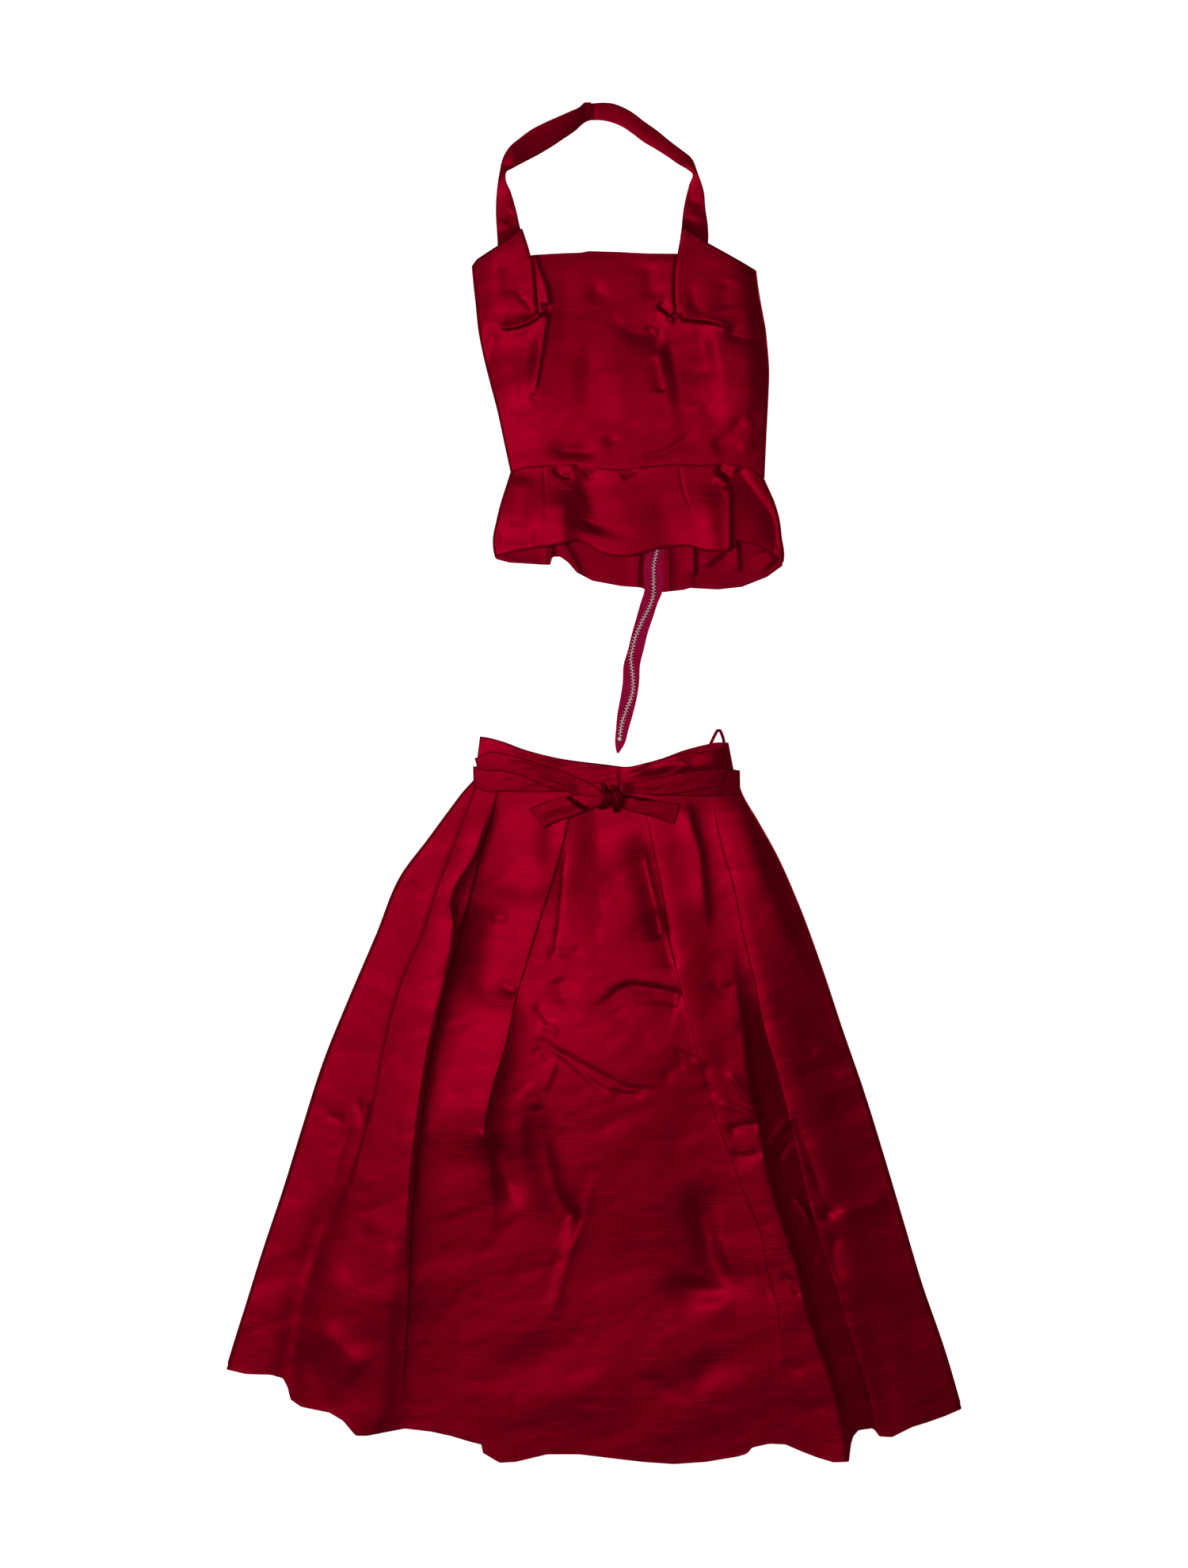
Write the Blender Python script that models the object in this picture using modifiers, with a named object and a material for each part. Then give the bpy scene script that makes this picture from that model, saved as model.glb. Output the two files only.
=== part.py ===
"""Two-piece satin outfit laid flat on its back: a halter peplum top above a long pleated skirt.

+X is the wearer's left side seen from the front (right in plan), +Y runs towards the neck and +Z is up,
away from the table. The origin is on the table, under the middle of the outfit.
Outlines are in millimetres and are turned into metres by MM.
"""

import math

import bmesh
import bpy
from mathutils import Matrix, Vector

MM = 0.001

# Cloth and gaps, in millimetres
CLOTH = 1.6            # a seamed, lined panel
THIN_CLOTH = 1.2       # sash satin, two layers
TAPE = 0.8             # woven zip tape
SEAM_GAP = 0.4         # each panel's set-back from a shared seam line
EDGE_HEIGHT = 3.9      # top of a front panel where it meets its back panel
BACK_HEIGHT = CLOTH    # top of a back panel that lies on the table

# Zip fasteners, in millimetres
CHAIN_HALF = 2.9
TAPE_NEAR = 3.2
TAPE_FAR = 11.0
SLOT_HALF = 5.0        # half the opening that a back panel leaves beside the chain
CHAIN_TOP = 3.0
CHAIN_DEPTH = 1.7
TAPE_TOP = 2.8
SLIDER_LENGTH = 12.0
SLIDER_HALF = 4.6
SLIDER_WALL = 1.0
TAB_LENGTH = 20.0
TAB_WIDTH = 5.0
TAB_DEPTH = 0.7
TAB_LIFT = 0.4
TAB_GAP = 1.2          # from the slider's end to the tab's pivot

# The top's zip line, waist seam and strap hinge
TOP_ZIP_START = (30.0, 655.0)
TOP_ZIP_END = (81.0, 262.0)
WAIST_SEAM_Y = 418.0
BACK_NECK_Y = 664.0
STRAP_HINGE = (10.0, 711.0, 9.5)
STRAP_HEIGHT = 2.0

# The skirt's centre back and zip
SKIRT_ZIP_X = 15.0
SKIRT_ZIP_START_Y = -24.0
SKIRT_ZIP_END_Y = -200.0
BACK_BAND_HEIGHT = 3.1
LOOP_HEIGHT = 4.4
LOOP_RADIUS = 1.0

# The sash knot, over the centre front
KNOT = (26.0, -22.0, 25.0)
KNOT_HALF = (9.0, 16.0, 7.2)
LEFT_TAIL_HEIGHT = 15.6
RIGHT_TAIL_HEIGHT = 14.0
STRAND_HEIGHT = 17.4

# Colours are linear RGB
SATIN = {"name": "crimson_satin", "colour": (0.30, 0.002, 0.020), "roughness": 0.38, "metallic": 0.0}
LINING = {"name": "facing_satin", "colour": (0.20, 0.002, 0.018), "roughness": 0.5, "metallic": 0.0}
SASH = {"name": "sash_satin", "colour": (0.33, 0.003, 0.022), "roughness": 0.36, "metallic": 0.0}
RIBBON = {"name": "loop_ribbon", "colour": (0.35, 0.003, 0.026), "roughness": 0.3, "metallic": 0.0}
WEBBING = {"name": "zip_tape", "colour": (0.25, 0.003, 0.055), "roughness": 0.7, "metallic": 0.0}
METAL = {"name": "zip_metal", "colour": (0.55, 0.55, 0.57), "roughness": 0.3, "metallic": 1.0}

# Seams of the bodice front, from the neck to the waist (x, y, height)
BODICE_LEFT_EDGE = [(-162, 684), (-160, 662), (-157, 635), (-149, 576), (-122, 470), (-112, 420)]
BODICE_LEFT_SEAM = [(-96, 732), (-86, 698), (-60, 630), (-66, 580), (-76, 510), (-67, 420)]
BODICE_RIGHT_SEAM = [(116, 735), (109, 699), (96, 630), (88, 580), (95, 520), (117, 420)]
BODICE_RIGHT_EDGE = [(214, 679), (217, 660), (221, 635), (230, 576), (229, 470), (227, 420)]
BODICE_SEAM_HEIGHTS = [5.5, 10.5, 12.0, 12.5, 12.5, 11.5]

# Seams of the peplum front, from the waist to the hem
PEPLUM_LEFT_EDGE = [(-110, 416), (-122, 380), (-131, 341), (-132, 300)]
PEPLUM_LEFT_SEAM = [(-67, 416), (-66, 380), (-67, 350), (-70, 316)]
PEPLUM_RIGHT_SEAM = [(117, 416), (121, 380), (126, 350), (130, 312)]
PEPLUM_RIGHT_EDGE = [(227, 414), (240, 376), (247, 347), (251, 299)]
PEPLUM_SEAM_HEIGHTS = [11.5, 12.0, 13.0, 14.0]

# Pleat seams of the skirt front, from the waist to the hem, each with its heights
SKIRT_LEFT_EDGE = [(-162, -12), (-218, -70), (-288, -200), (-366, -390), (-433, -600), (-487, -776)]
SKIRT_PLEAT_A = [(-156, -12), (-185, -70), (-234, -200), (-287, -390), (-364, -600), (-404, -822)]
SKIRT_PLEAT_B = [(-131, -12), (-145, -70), (-180, -200), (-217, -390), (-239, -600), (-252, -856)]
SKIRT_PLEAT_C = [(-33, -12), (-40, -70), (-78, -200), (-130, -390), (-144, -600), (-147, -878)]
SKIRT_PLEAT_D = [(66, -12), (73, -70), (95, -200), (145, -390), (213, -600), (239, -874)]
SKIRT_PLEAT_E = [(161, -12), (166, -70), (190, -200), (241, -390), (302, -600), (374, -856)]
SKIRT_RIGHT_EDGE = [(192, -12), (230, -70), (286, -200), (352, -390), (416, -600), (487, -828)]
HEIGHTS_A = [5.5, 9.0, 10.5, 11.0, 12.0, 12.0]
HEIGHTS_B = [9.0, 12.0, 15.0, 17.0, 18.0, 18.0]
HEIGHTS_C = [12.0, 12.5, 13.0, 13.0, 14.0, 14.0]
HEIGHTS_D = [12.0, 12.0, 12.2, 14.0, 15.0, 16.0]
HEIGHTS_E = [5.6, 10.0, 10.5, 10.5, 10.5, 10.5]

# Zip tail below the peplum, from the hem to the end of its chain
TAIL_PATH = [
    (80, 252), (76, 238), (66, 216), (57, 194), (50, 168), (50, 145),
    (49, 123), (43, 99), (37, 79), (34, 62), (32, 40),
]
TAIL_CHAIN_END = 9     # the path's last point that the chain reaches
TAIL_PIVOT = (81.0, 258.0, 2.0)

# Halter strap, from the bust panel to the seam at the nape: outer and inner edges
STRAP_LEFT_OUTER = [
    (-127, 711), (-130, 761), (-129, 785), (-125, 809), (-121, 827), (-111, 841),
    (-84, 863), (-46, 882), (-7, 900),
]
STRAP_LEFT_INNER = [
    (-97, 733), (-103, 758), (-111, 782), (-117, 800), (-112, 812), (-99, 819),
    (-73, 833), (-40, 855), (-7, 877),
]
STRAP_RIGHT_OUTER = [
    (151, 716), (148, 761), (145, 783), (138, 808), (128, 829), (107, 845),
    (83, 864), (57, 883), (30, 897), (-5, 900),
]
STRAP_RIGHT_INNER = [
    (117, 736), (120, 766), (126, 792), (129, 806), (113, 818), (94, 832),
    (71, 847), (48, 861), (26, 873), (-5, 878),
]


def clear_scene():
    for item in list(bpy.data.objects):
        bpy.data.objects.remove(item)


def make_collection(name):
    collection = bpy.data.collections.new(name)
    bpy.context.scene.collection.children.link(collection)
    return collection


def surface_material(spec):
    """One Principled material for each spec, made once."""
    known = bpy.data.materials.get(spec["name"])
    if known:
        return known
    made = bpy.data.materials.new(spec["name"])
    made.use_nodes = True
    shader = made.node_tree.nodes["Principled BSDF"]
    shader.inputs["Base Color"].default_value = (*spec["colour"], 1.0)
    shader.inputs["Roughness"].default_value = spec["roughness"]
    shader.inputs["Metallic"].default_value = spec["metallic"]
    return made


def place(item, collection, spec):
    """Gives an object its material and its place in the outfit's collection."""
    for old in list(item.users_collection):
        old.objects.unlink(item)
    collection.objects.link(item)
    item.data.materials.append(surface_material(spec))
    return item


def set_origin(item, point_mm):
    """Moves an unrotated object's origin to a point on its joint's axis, leaving its shape in place."""
    point = Vector(point_mm) * MM
    item.data.transform(Matrix.Translation(-point))
    item.location = point
    return item


def at_heights(points, heights):
    """Plan points joined with one height, or with a height for each."""
    if not isinstance(heights, (list, tuple)):
        heights = [heights] * len(points)
    return [(x, y, z) for (x, y), z in zip(points, heights)]


def loft(name, line_a, line_b, collection, spec, columns=2, thickness=CLOTH, dip=0.0, inset=SEAM_GAP):
    """A cloth panel between two seam lines of equal length; line_a is at the left and thickness goes down.

    dip bows the panel's last row towards -Y, and inset sets both sides back from their seam.
    """
    grid = []
    last = len(line_a) - 1
    for row, (a, b) in enumerate(zip(line_a, line_b)):
        a, b = Vector(a), Vector(b)
        step = (b - a).normalized() * inset
        a, b = a + step, b - step
        bow = dip if row == last else 0.0
        points = []
        for column in range(columns + 1):
            share = column / columns
            point = a.lerp(b, share)
            point.y -= bow * 4 * share * (1 - share)
            points.append(point * MM)
        grid.append(points)
    mesh = bpy.data.meshes.new(name)
    shape = bmesh.new()
    verts = [[shape.verts.new(point) for point in row] for row in grid]
    for upper, lower in zip(verts, verts[1:]):
        for i in range(columns):
            shape.faces.new((upper[i], lower[i], lower[i + 1], upper[i + 1]))
    bmesh.ops.recalc_face_normals(shape, faces=shape.faces)
    if sum(face.normal.z for face in shape.faces) < 0:
        bmesh.ops.reverse_faces(shape, faces=shape.faces)
    shape.to_mesh(mesh)
    shape.free()
    panel = bpy.data.objects.new(name, mesh)
    solidify = panel.modifiers.new("Cloth", "SOLIDIFY")
    solidify.thickness = thickness * MM
    solidify.offset = -1.0
    return place(panel, collection, spec)


def offset_line(path, distance):
    """The line beside a plan path, distance to the left of its direction of travel."""
    found = []
    for i, point in enumerate(path):
        before = Vector(path[max(i - 1, 0)])
        after = Vector(path[min(i + 1, len(path) - 1)])
        along = (after - before).normalized()
        found.append((point[0] - along.y * distance, point[1] + along.x * distance))
    return found


def ribbon(name, path, near, far, height, thickness, collection, spec):
    """A flat strip between two distances beside a plan path."""
    line_a = at_heights(offset_line(path, near), height)
    line_b = at_heights(offset_line(path, far), height)
    return loft(name, line_a, line_b, collection, spec, columns=1, thickness=thickness, inset=0.0)


def block(name, size, centre, turn, collection, spec):
    """A rectangular piece of a size in millimetres, turned about +Z by turn radians."""
    bpy.ops.mesh.primitive_cube_add(size=1.0, location=(0.0, 0.0, 0.0))
    item = bpy.context.active_object
    item.name = name
    item.data.transform(Matrix.Diagonal((*[s * MM for s in size], 1.0)))
    item.rotation_euler = (0.0, 0.0, turn)
    item.location = Vector(centre) * MM
    return place(item, collection, spec)


def extruded(name, outline, length, collection, spec):
    """A plan outline in millimetres, extruded to a length along its own Z axis."""
    curve = bpy.data.curves.new(name, "CURVE")
    curve.dimensions = "2D"
    curve.fill_mode = "BOTH"
    curve.extrude = length * MM / 2
    spline = curve.splines.new("POLY")
    spline.points.add(len(outline) - 1)
    for point, (x, y) in zip(spline.points, outline):
        point.co = (x * MM, y * MM, 0.0, 1.0)
    spline.use_cyclic_u = True
    return place(bpy.data.objects.new(name, curve), collection, spec)


def tube(name, points, radius, collection, spec):
    """A round cord through points in millimetres."""
    curve = bpy.data.curves.new(name, "CURVE")
    curve.dimensions = "3D"
    curve.bevel_depth = radius * MM
    curve.bevel_resolution = 2
    curve.use_fill_caps = True
    spline = curve.splines.new("POLY")
    spline.points.add(len(points) - 1)
    for control, point in zip(spline.points, points):
        control.co = (*(Vector(point) * MM), 1.0)
    return place(bpy.data.objects.new(name, curve), collection, spec)


def zip_slider(name, centre, turn, collection):
    """A channel that rides under the chain, open towards it, with its length along the zip."""
    wall = SLIDER_WALL
    outline = [
        (-SLIDER_HALF, 0.0), (SLIDER_HALF, 0.0), (SLIDER_HALF, 1.6), (SLIDER_HALF - wall, 1.6),
        (SLIDER_HALF - wall, 0.7), (wall - SLIDER_HALF, 0.7), (wall - SLIDER_HALF, 1.6), (-SLIDER_HALF, 1.6),
    ]
    slider = extruded(name, outline, SLIDER_LENGTH, collection, METAL)
    slider.rotation_euler = (math.pi / 2, 0.0, turn)
    slider.location = Vector(centre) * MM
    return slider


def pull_tab(name, pivot, turn, collection):
    """A flat tab whose origin is on its pivot, at its upper end."""
    bpy.ops.mesh.primitive_cube_add(size=1.0, location=(0.0, 0.0, 0.0))
    tab = bpy.context.active_object
    tab.name = name
    tab.data.transform(Matrix.Diagonal((TAB_WIDTH * MM, TAB_LENGTH * MM, TAB_DEPTH * MM, 1.0)))
    tab.data.transform(Matrix.Translation((0.0, -TAB_LENGTH * MM / 2, 0.0)))
    tab.rotation_euler = (0.0, 0.0, turn)
    tab.location = Vector(pivot) * MM
    return place(tab, collection, METAL)


def zip_fastener(prefix, start, end, collection):
    """A closed zip from its top to its bottom end: two tapes, the chain, two top stops, a slider and its tab."""
    start, end = Vector(start), Vector(end)
    along = (end - start).normalized()
    across = Vector((-along.y, along.x))
    turn = math.atan2(along.x, -along.y)
    path = [tuple(start), tuple(end)]
    ribbon(prefix + "_tape_left", path, -TAPE_FAR, -TAPE_NEAR, TAPE_TOP, TAPE, collection, WEBBING)
    ribbon(prefix + "_tape_right", path, TAPE_NEAR, TAPE_FAR, TAPE_TOP, TAPE, collection, WEBBING)
    chain_start = start + along * 4.0
    chain_path = [tuple(chain_start), tuple(end)]
    ribbon(prefix + "_chain", chain_path, -CHAIN_HALF, CHAIN_HALF, CHAIN_TOP, CHAIN_DEPTH, collection, METAL)
    for side, name in ((-1, "_top_stop_left"), (1, "_top_stop_right")):
        centre = start + along * 2.2 + across * (side * 1.6)
        block(prefix + name, (2.4, 2.4, 1.7), (*centre, 2.15), turn, collection, METAL)
    slider = start + along * 11.0
    zip_slider(prefix + "_slider", (*slider, TAB_LIFT - 0.1), turn, collection)
    pivot = slider + along * (SLIDER_LENGTH / 2 + TAB_GAP)
    pull_tab(prefix + "_pull_tab", (*pivot, TAB_LIFT + TAB_DEPTH / 2), turn, collection)


def zip_x(y):
    """Where the top's zip line is at a height up the body."""
    (x0, y0), (x1, y1) = TOP_ZIP_START, TOP_ZIP_END
    return x0 + (y0 - y) * (x1 - x0) / (y0 - y1)


def bodice_front(collection):
    edge_left = at_heights(BODICE_LEFT_EDGE, EDGE_HEIGHT)
    seam_left = at_heights(BODICE_LEFT_SEAM, BODICE_SEAM_HEIGHTS)
    seam_right = at_heights(BODICE_RIGHT_SEAM, BODICE_SEAM_HEIGHTS)
    edge_right = at_heights(BODICE_RIGHT_EDGE, EDGE_HEIGHT)
    loft("bodice_front_left", edge_left, seam_left, collection, SATIN, columns=3)
    loft("bodice_front_center", seam_left[1:], seam_right[1:], collection, SATIN, columns=2)
    loft("bodice_front_right", seam_right, edge_right, collection, SATIN, columns=3)


def neck_facing(collection):
    """The narrow facing sewn inside the neckline."""
    left = [(-78, 694, 8.5), (-60, 655, 9.2)]
    right = [(103, 694, 8.5), (94, 655, 9.2)]
    loft("neck_facing", left, right, collection, LINING, columns=1, thickness=TAPE)


def bodice_back(collection):
    """Two back panels on the table, with the zip between them."""
    heights = (BACK_NECK_Y, 635.0, 576.0, 470.0, WAIST_SEAM_Y + 1.5)
    left_edge = [(-157, BACK_NECK_Y), (-153, 635), (-145, 576), (-119, 470), (-109, heights[-1])]
    right_edge = [(213, BACK_NECK_Y), (218, 635), (226, 576), (226, 470), (224, heights[-1])]
    left_slot = [(zip_x(y) - SLOT_HALF, y) for y in heights]
    right_slot = [(zip_x(y) + SLOT_HALF, y) for y in heights]
    left_lines = [at_heights(line, BACK_HEIGHT) for line in (left_edge, left_slot)]
    right_lines = [at_heights(line, BACK_HEIGHT) for line in (right_slot, right_edge)]
    loft("bodice_back_left", *left_lines, collection, SATIN)
    loft("bodice_back_right", *right_lines, collection, SATIN)


def peplum_front(collection):
    edge_left = at_heights(PEPLUM_LEFT_EDGE, EDGE_HEIGHT)
    seam_left = at_heights(PEPLUM_LEFT_SEAM, PEPLUM_SEAM_HEIGHTS)
    seam_right = at_heights(PEPLUM_RIGHT_SEAM, PEPLUM_SEAM_HEIGHTS)
    edge_right = at_heights(PEPLUM_RIGHT_EDGE, EDGE_HEIGHT)
    loft("peplum_front_left", edge_left, seam_left, collection, SATIN)
    loft("peplum_front_center", seam_left, seam_right, collection, SATIN, columns=3, dip=12.0)
    loft("peplum_front_right", seam_right, edge_right, collection, SATIN)


def peplum_back(collection):
    """The longer back of the peplum, parted by the zip."""
    top = WAIST_SEAM_Y - 1.5
    left_edge = [(-107, top), (-128, 341), (-130, 300)]
    left_slot = [(zip_x(y) - SLOT_HALF, y) for y in (top, 341.0, 259.0)]
    right_slot = [(zip_x(y) + SLOT_HALF, y) for y in (top, 341.0, 259.0)]
    right_edge = [(224, top), (245, 341), (249, 298)]
    left_lines = [at_heights(line, BACK_HEIGHT) for line in (left_edge, left_slot)]
    right_lines = [at_heights(line, BACK_HEIGHT) for line in (right_slot, right_edge)]
    loft("peplum_back_left", *left_lines, collection, SATIN)
    loft("peplum_back_right", *right_lines, collection, SATIN, columns=4, dip=20.0)


def halter_strap(collection):
    """Two ribbons from the bust panels that meet in a seam at the nape, folding forward together."""
    for side, outer, inner in (
        ("left", STRAP_LEFT_OUTER, STRAP_LEFT_INNER),
        ("right", STRAP_RIGHT_OUTER, STRAP_RIGHT_INNER),
    ):
        outer_line = at_heights(outer, STRAP_HEIGHT)
        inner_line = at_heights(inner, STRAP_HEIGHT)
        strap = loft("strap_" + side, outer_line, inner_line, collection, SATIN, columns=1, inset=0.0)
        set_origin(strap, STRAP_HINGE)


def zip_tail(collection):
    """The zip's free end, below the peplum, which swings about the hem."""
    chain_path = TAIL_PATH[:TAIL_CHAIN_END + 1]
    pieces = [
        ribbon("tail_tape_left", TAIL_PATH, -TAPE_FAR, -TAPE_NEAR, TAPE_TOP, TAPE, collection, WEBBING),
        ribbon("tail_tape_right", TAIL_PATH, TAPE_NEAR, TAPE_FAR, TAPE_TOP, TAPE, collection, WEBBING),
        ribbon("tail_chain", chain_path, -CHAIN_HALF, CHAIN_HALF, CHAIN_TOP, CHAIN_DEPTH, collection, METAL),
    ]
    stop = block("tail_bottom_stop", (4.8, 4.0, 1.9), (0.0, 0.0, 0.0), 0.0, collection, METAL)
    stop.data.transform(Matrix.Translation(Vector((33.7, 58.6, 2.05)) * MM))
    for piece in [*pieces, stop]:
        set_origin(piece, TAIL_PIVOT)


def skirt_front(collection):
    lines = [
        at_heights(SKIRT_LEFT_EDGE, EDGE_HEIGHT),
        at_heights(SKIRT_PLEAT_A, HEIGHTS_A),
        at_heights(SKIRT_PLEAT_B, HEIGHTS_B),
        at_heights(SKIRT_PLEAT_C, HEIGHTS_C),
        at_heights(SKIRT_PLEAT_D, HEIGHTS_D),
        at_heights(SKIRT_PLEAT_E, HEIGHTS_E),
        at_heights(SKIRT_RIGHT_EDGE, EDGE_HEIGHT),
    ]
    names = ("side_left", "pleat_left", "front_left", "front_center", "front_right", "side_right")
    dips = (0.0, 10.0, 0.0, 24.0, 33.0, 0.0)
    for name, left, right, dip in zip(names, lines, lines[1:], dips):
        loft("skirt_" + name, left, right, collection, SATIN, columns=4, dip=dip)


def skirt_back(collection):
    """Two back panels on the table; they part round the zip and meet below it."""
    top = -20.0
    left_edge = [
        (-168, top), (-216, -70), (-286, -200), (-288, -204), (-364, -390), (-431, -600), (-484, -776),
    ]
    right_edge = [
        (199, top), (228, -70), (284, -200), (286, -204), (350, -390), (414, -600), (484, -826),
    ]
    heights = (top, -70.0, -204.0, -206.0, -390.0, -600.0, -880.0)
    slot = [SLOT_HALF] * 3 + [SEAM_GAP] * 4
    left_seam = [(SKIRT_ZIP_X - half, y) for half, y in zip(slot, heights)]
    right_seam = [(SKIRT_ZIP_X + half, y) for half, y in zip(slot, heights)]
    left_lines = [at_heights(line, BACK_HEIGHT) for line in (left_edge, left_seam)]
    right_lines = [at_heights(line, BACK_HEIGHT) for line in (right_seam, right_edge)]
    loft("skirt_back_left", *left_lines, collection, SATIN, columns=3)
    loft("skirt_back_right", *right_lines, collection, SATIN, columns=3)


def waistband(collection):
    """A shaped band: one piece in front, two behind that close with a hook and bar over the zip."""
    front_top = [(-152, 62, 5.2), (-87, 45, 11.0), (-30, 30, 12.5), (40, 23, 12.5), (116, 40, 11.0), (182, 52, 7.8)]
    front_base = [(x, -10.0, z) for x, z in zip((-161, -95, -33, 40, 116, 190), (5, 11, 12.5, 12.5, 11, 5))]
    loft("waistband_front", front_base, front_top, collection, SATIN, inset=0.0)
    back = BACK_BAND_HEIGHT
    left_top = [(-149, 61, back), (-87, 44, back), (-30, 29, back), (SKIRT_ZIP_X - 0.6, 24, back)]
    left_base = [(x, -9.0, back) for x in (-158, -95, -33, SKIRT_ZIP_X - 0.6)]
    loft("waistband_back_left", left_base, left_top, collection, SATIN, columns=1, inset=0.0)
    right_top = [(SKIRT_ZIP_X + 0.6, 24, back), (82, 34, back), (120, 45, back), (154, 56, back), (180, 55, back)]
    right_base = [(x, -9.0, back) for x in (SKIRT_ZIP_X + 0.6, 82, 120, 158, 187)]
    loft("waistband_back_right", right_base, right_top, collection, SATIN, columns=1, inset=0.0)


def waist_closure(collection):
    """A flat hook on one end of the band, and the bar it catches."""
    block("waist_hook", (9.0, 7.0, 1.0), (SKIRT_ZIP_X - 6.0, 12.0, 3.9), 0.0, collection, METAL)
    block("waist_bar", (3.0, 9.0, 1.0), (SKIRT_ZIP_X + 3.0, 12.0, 3.9), 0.0, collection, METAL)


def hanger_loops(collection):
    """Narrow loops sewn inside the band: the right one stands above the edge, the left one is tucked in."""
    right_points = [(155, 57.5), (157, 64), (160, 70), (164, 72), (169, 70), (172, 65), (173, 57.5)]
    right = tube("hanger_loop_right", at_heights(right_points, LOOP_HEIGHT), LOOP_RADIUS, collection, RIBBON)
    set_origin(right, (163.0, 57.0, LOOP_HEIGHT))
    left_points = [(-110, 40), (-111, 30), (-109, 18), (-103, 12), (-97, 17), (-95, 28), (-97, 38)]
    tube("hanger_loop_left", at_heights(left_points, LOOP_HEIGHT), LOOP_RADIUS, collection, RIBBON)


def sash(collection):
    """A long tie round the waist: a back wrap, the strands to the knot, the knot and two tails."""
    thin = THIN_CLOTH
    back_base = [(-159, -13, thin), (193, -14, thin)]
    back_top = [(-159, 22, thin), (193, 15, thin)]
    loft("sash_back", back_base, back_top, collection, SASH, columns=1, thickness=thin - 0.1, inset=0.0)
    wrap_top = [(-160, 25, 6.9), (-116, 18, 12.2), (-52, 8, 14.6)]
    wrap_base = [(-160, 2, 6.9), (-116, -11, 12.2), (-52, -11, 14.6)]
    loft("sash_wrap_left", wrap_base, wrap_top, collection, SASH, thickness=thin, inset=0.0)
    cross_top = [(-157, 37, 9.2), (-116, 42, 14.4), (-57, 23, 16.8), (-20, 10, 17.4), (9, -8, 17.4)]
    cross_base = [(-148, 27, 10.4), (-116, 17, 14.4), (-57, 0, 16.8), (-20, -21, 17.4), (-4, -30, 17.4)]
    loft("sash_cross_left", cross_base, cross_top, collection, SASH, thickness=thin, inset=0.0)
    right_top = [(36, -6, STRAND_HEIGHT), (60, 5, STRAND_HEIGHT), (116, 14, 16.0), (170, 20, 11.0)]
    right_base = [(36, -16, STRAND_HEIGHT), (66, -17, STRAND_HEIGHT), (116, -12, 16.0), (163, -6, 11.4)]
    loft("sash_front_right", right_base, right_top, collection, SASH, thickness=thin, inset=0.0)
    end_top = [(174, 19, 8.8), (194, 16, 7.2)]
    end_base = [(172, -16, 8.6), (195, -14, 6.4)]
    loft("sash_wrap_right", end_base, end_top, collection, SASH, columns=1, thickness=thin, inset=0.0)


def sash_knot(collection):
    bpy.ops.mesh.primitive_uv_sphere_add(segments=16, ring_count=8, radius=1.0, location=(0.0, 0.0, 0.0))
    knot = bpy.context.active_object
    knot.name = "sash_knot"
    knot.data.transform(Matrix.Diagonal((*[half * MM for half in KNOT_HALF], 1.0)))
    knot.location = Vector(KNOT) * MM
    knot.data.shade_smooth()
    place(knot, collection, SASH)


def sash_tails(collection):
    """Two short tails that swing about the knot, the left one above the right."""
    left_top = [(-82, -34), (-28, -17), (22, -15)]
    left_base = [(-66, -59), (-28, -43), (22, -34)]
    right_top = [(30, -13), (72, -19), (113, -27)]
    right_base = [(30, -36), (70, -46), (107, -54)]
    for name, base, top, height in (
        ("sash_tail_left", left_base, left_top, LEFT_TAIL_HEIGHT),
        ("sash_tail_right", right_base, right_top, RIGHT_TAIL_HEIGHT),
    ):
        lines = [at_heights(line, height) for line in (base, top)]
        tail = loft(name, *lines, collection, SASH, thickness=THIN_CLOTH, inset=0.0)
        set_origin(tail, (KNOT[0], KNOT[1], height))


def main():
    clear_scene()
    outfit = make_collection("halter_top_and_skirt")
    bodice_front(outfit)
    neck_facing(outfit)
    bodice_back(outfit)
    peplum_front(outfit)
    peplum_back(outfit)
    halter_strap(outfit)
    zip_fastener("back_zip", TOP_ZIP_START, TOP_ZIP_END, outfit)
    zip_tail(outfit)
    skirt_front(outfit)
    skirt_back(outfit)
    waistband(outfit)
    waist_closure(outfit)
    zip_fastener("skirt_zip", (SKIRT_ZIP_X, SKIRT_ZIP_START_Y), (SKIRT_ZIP_X, SKIRT_ZIP_END_Y), outfit)
    hanger_loops(outfit)
    sash(outfit)
    sash_knot(outfit)
    sash_tails(outfit)


main()
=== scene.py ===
"""Looks of a two-piece satin outfit laid flat: a halter peplum top above a long pleated skirt with a tied sash.

Plan lines are in millimetres, turned into metres by MM. +X is right, +Y runs towards the neck, +Z is up.
Each cloth is a grid of rows (from its upper end to its lower end) and columns (from left to right).
"""

import math

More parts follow.
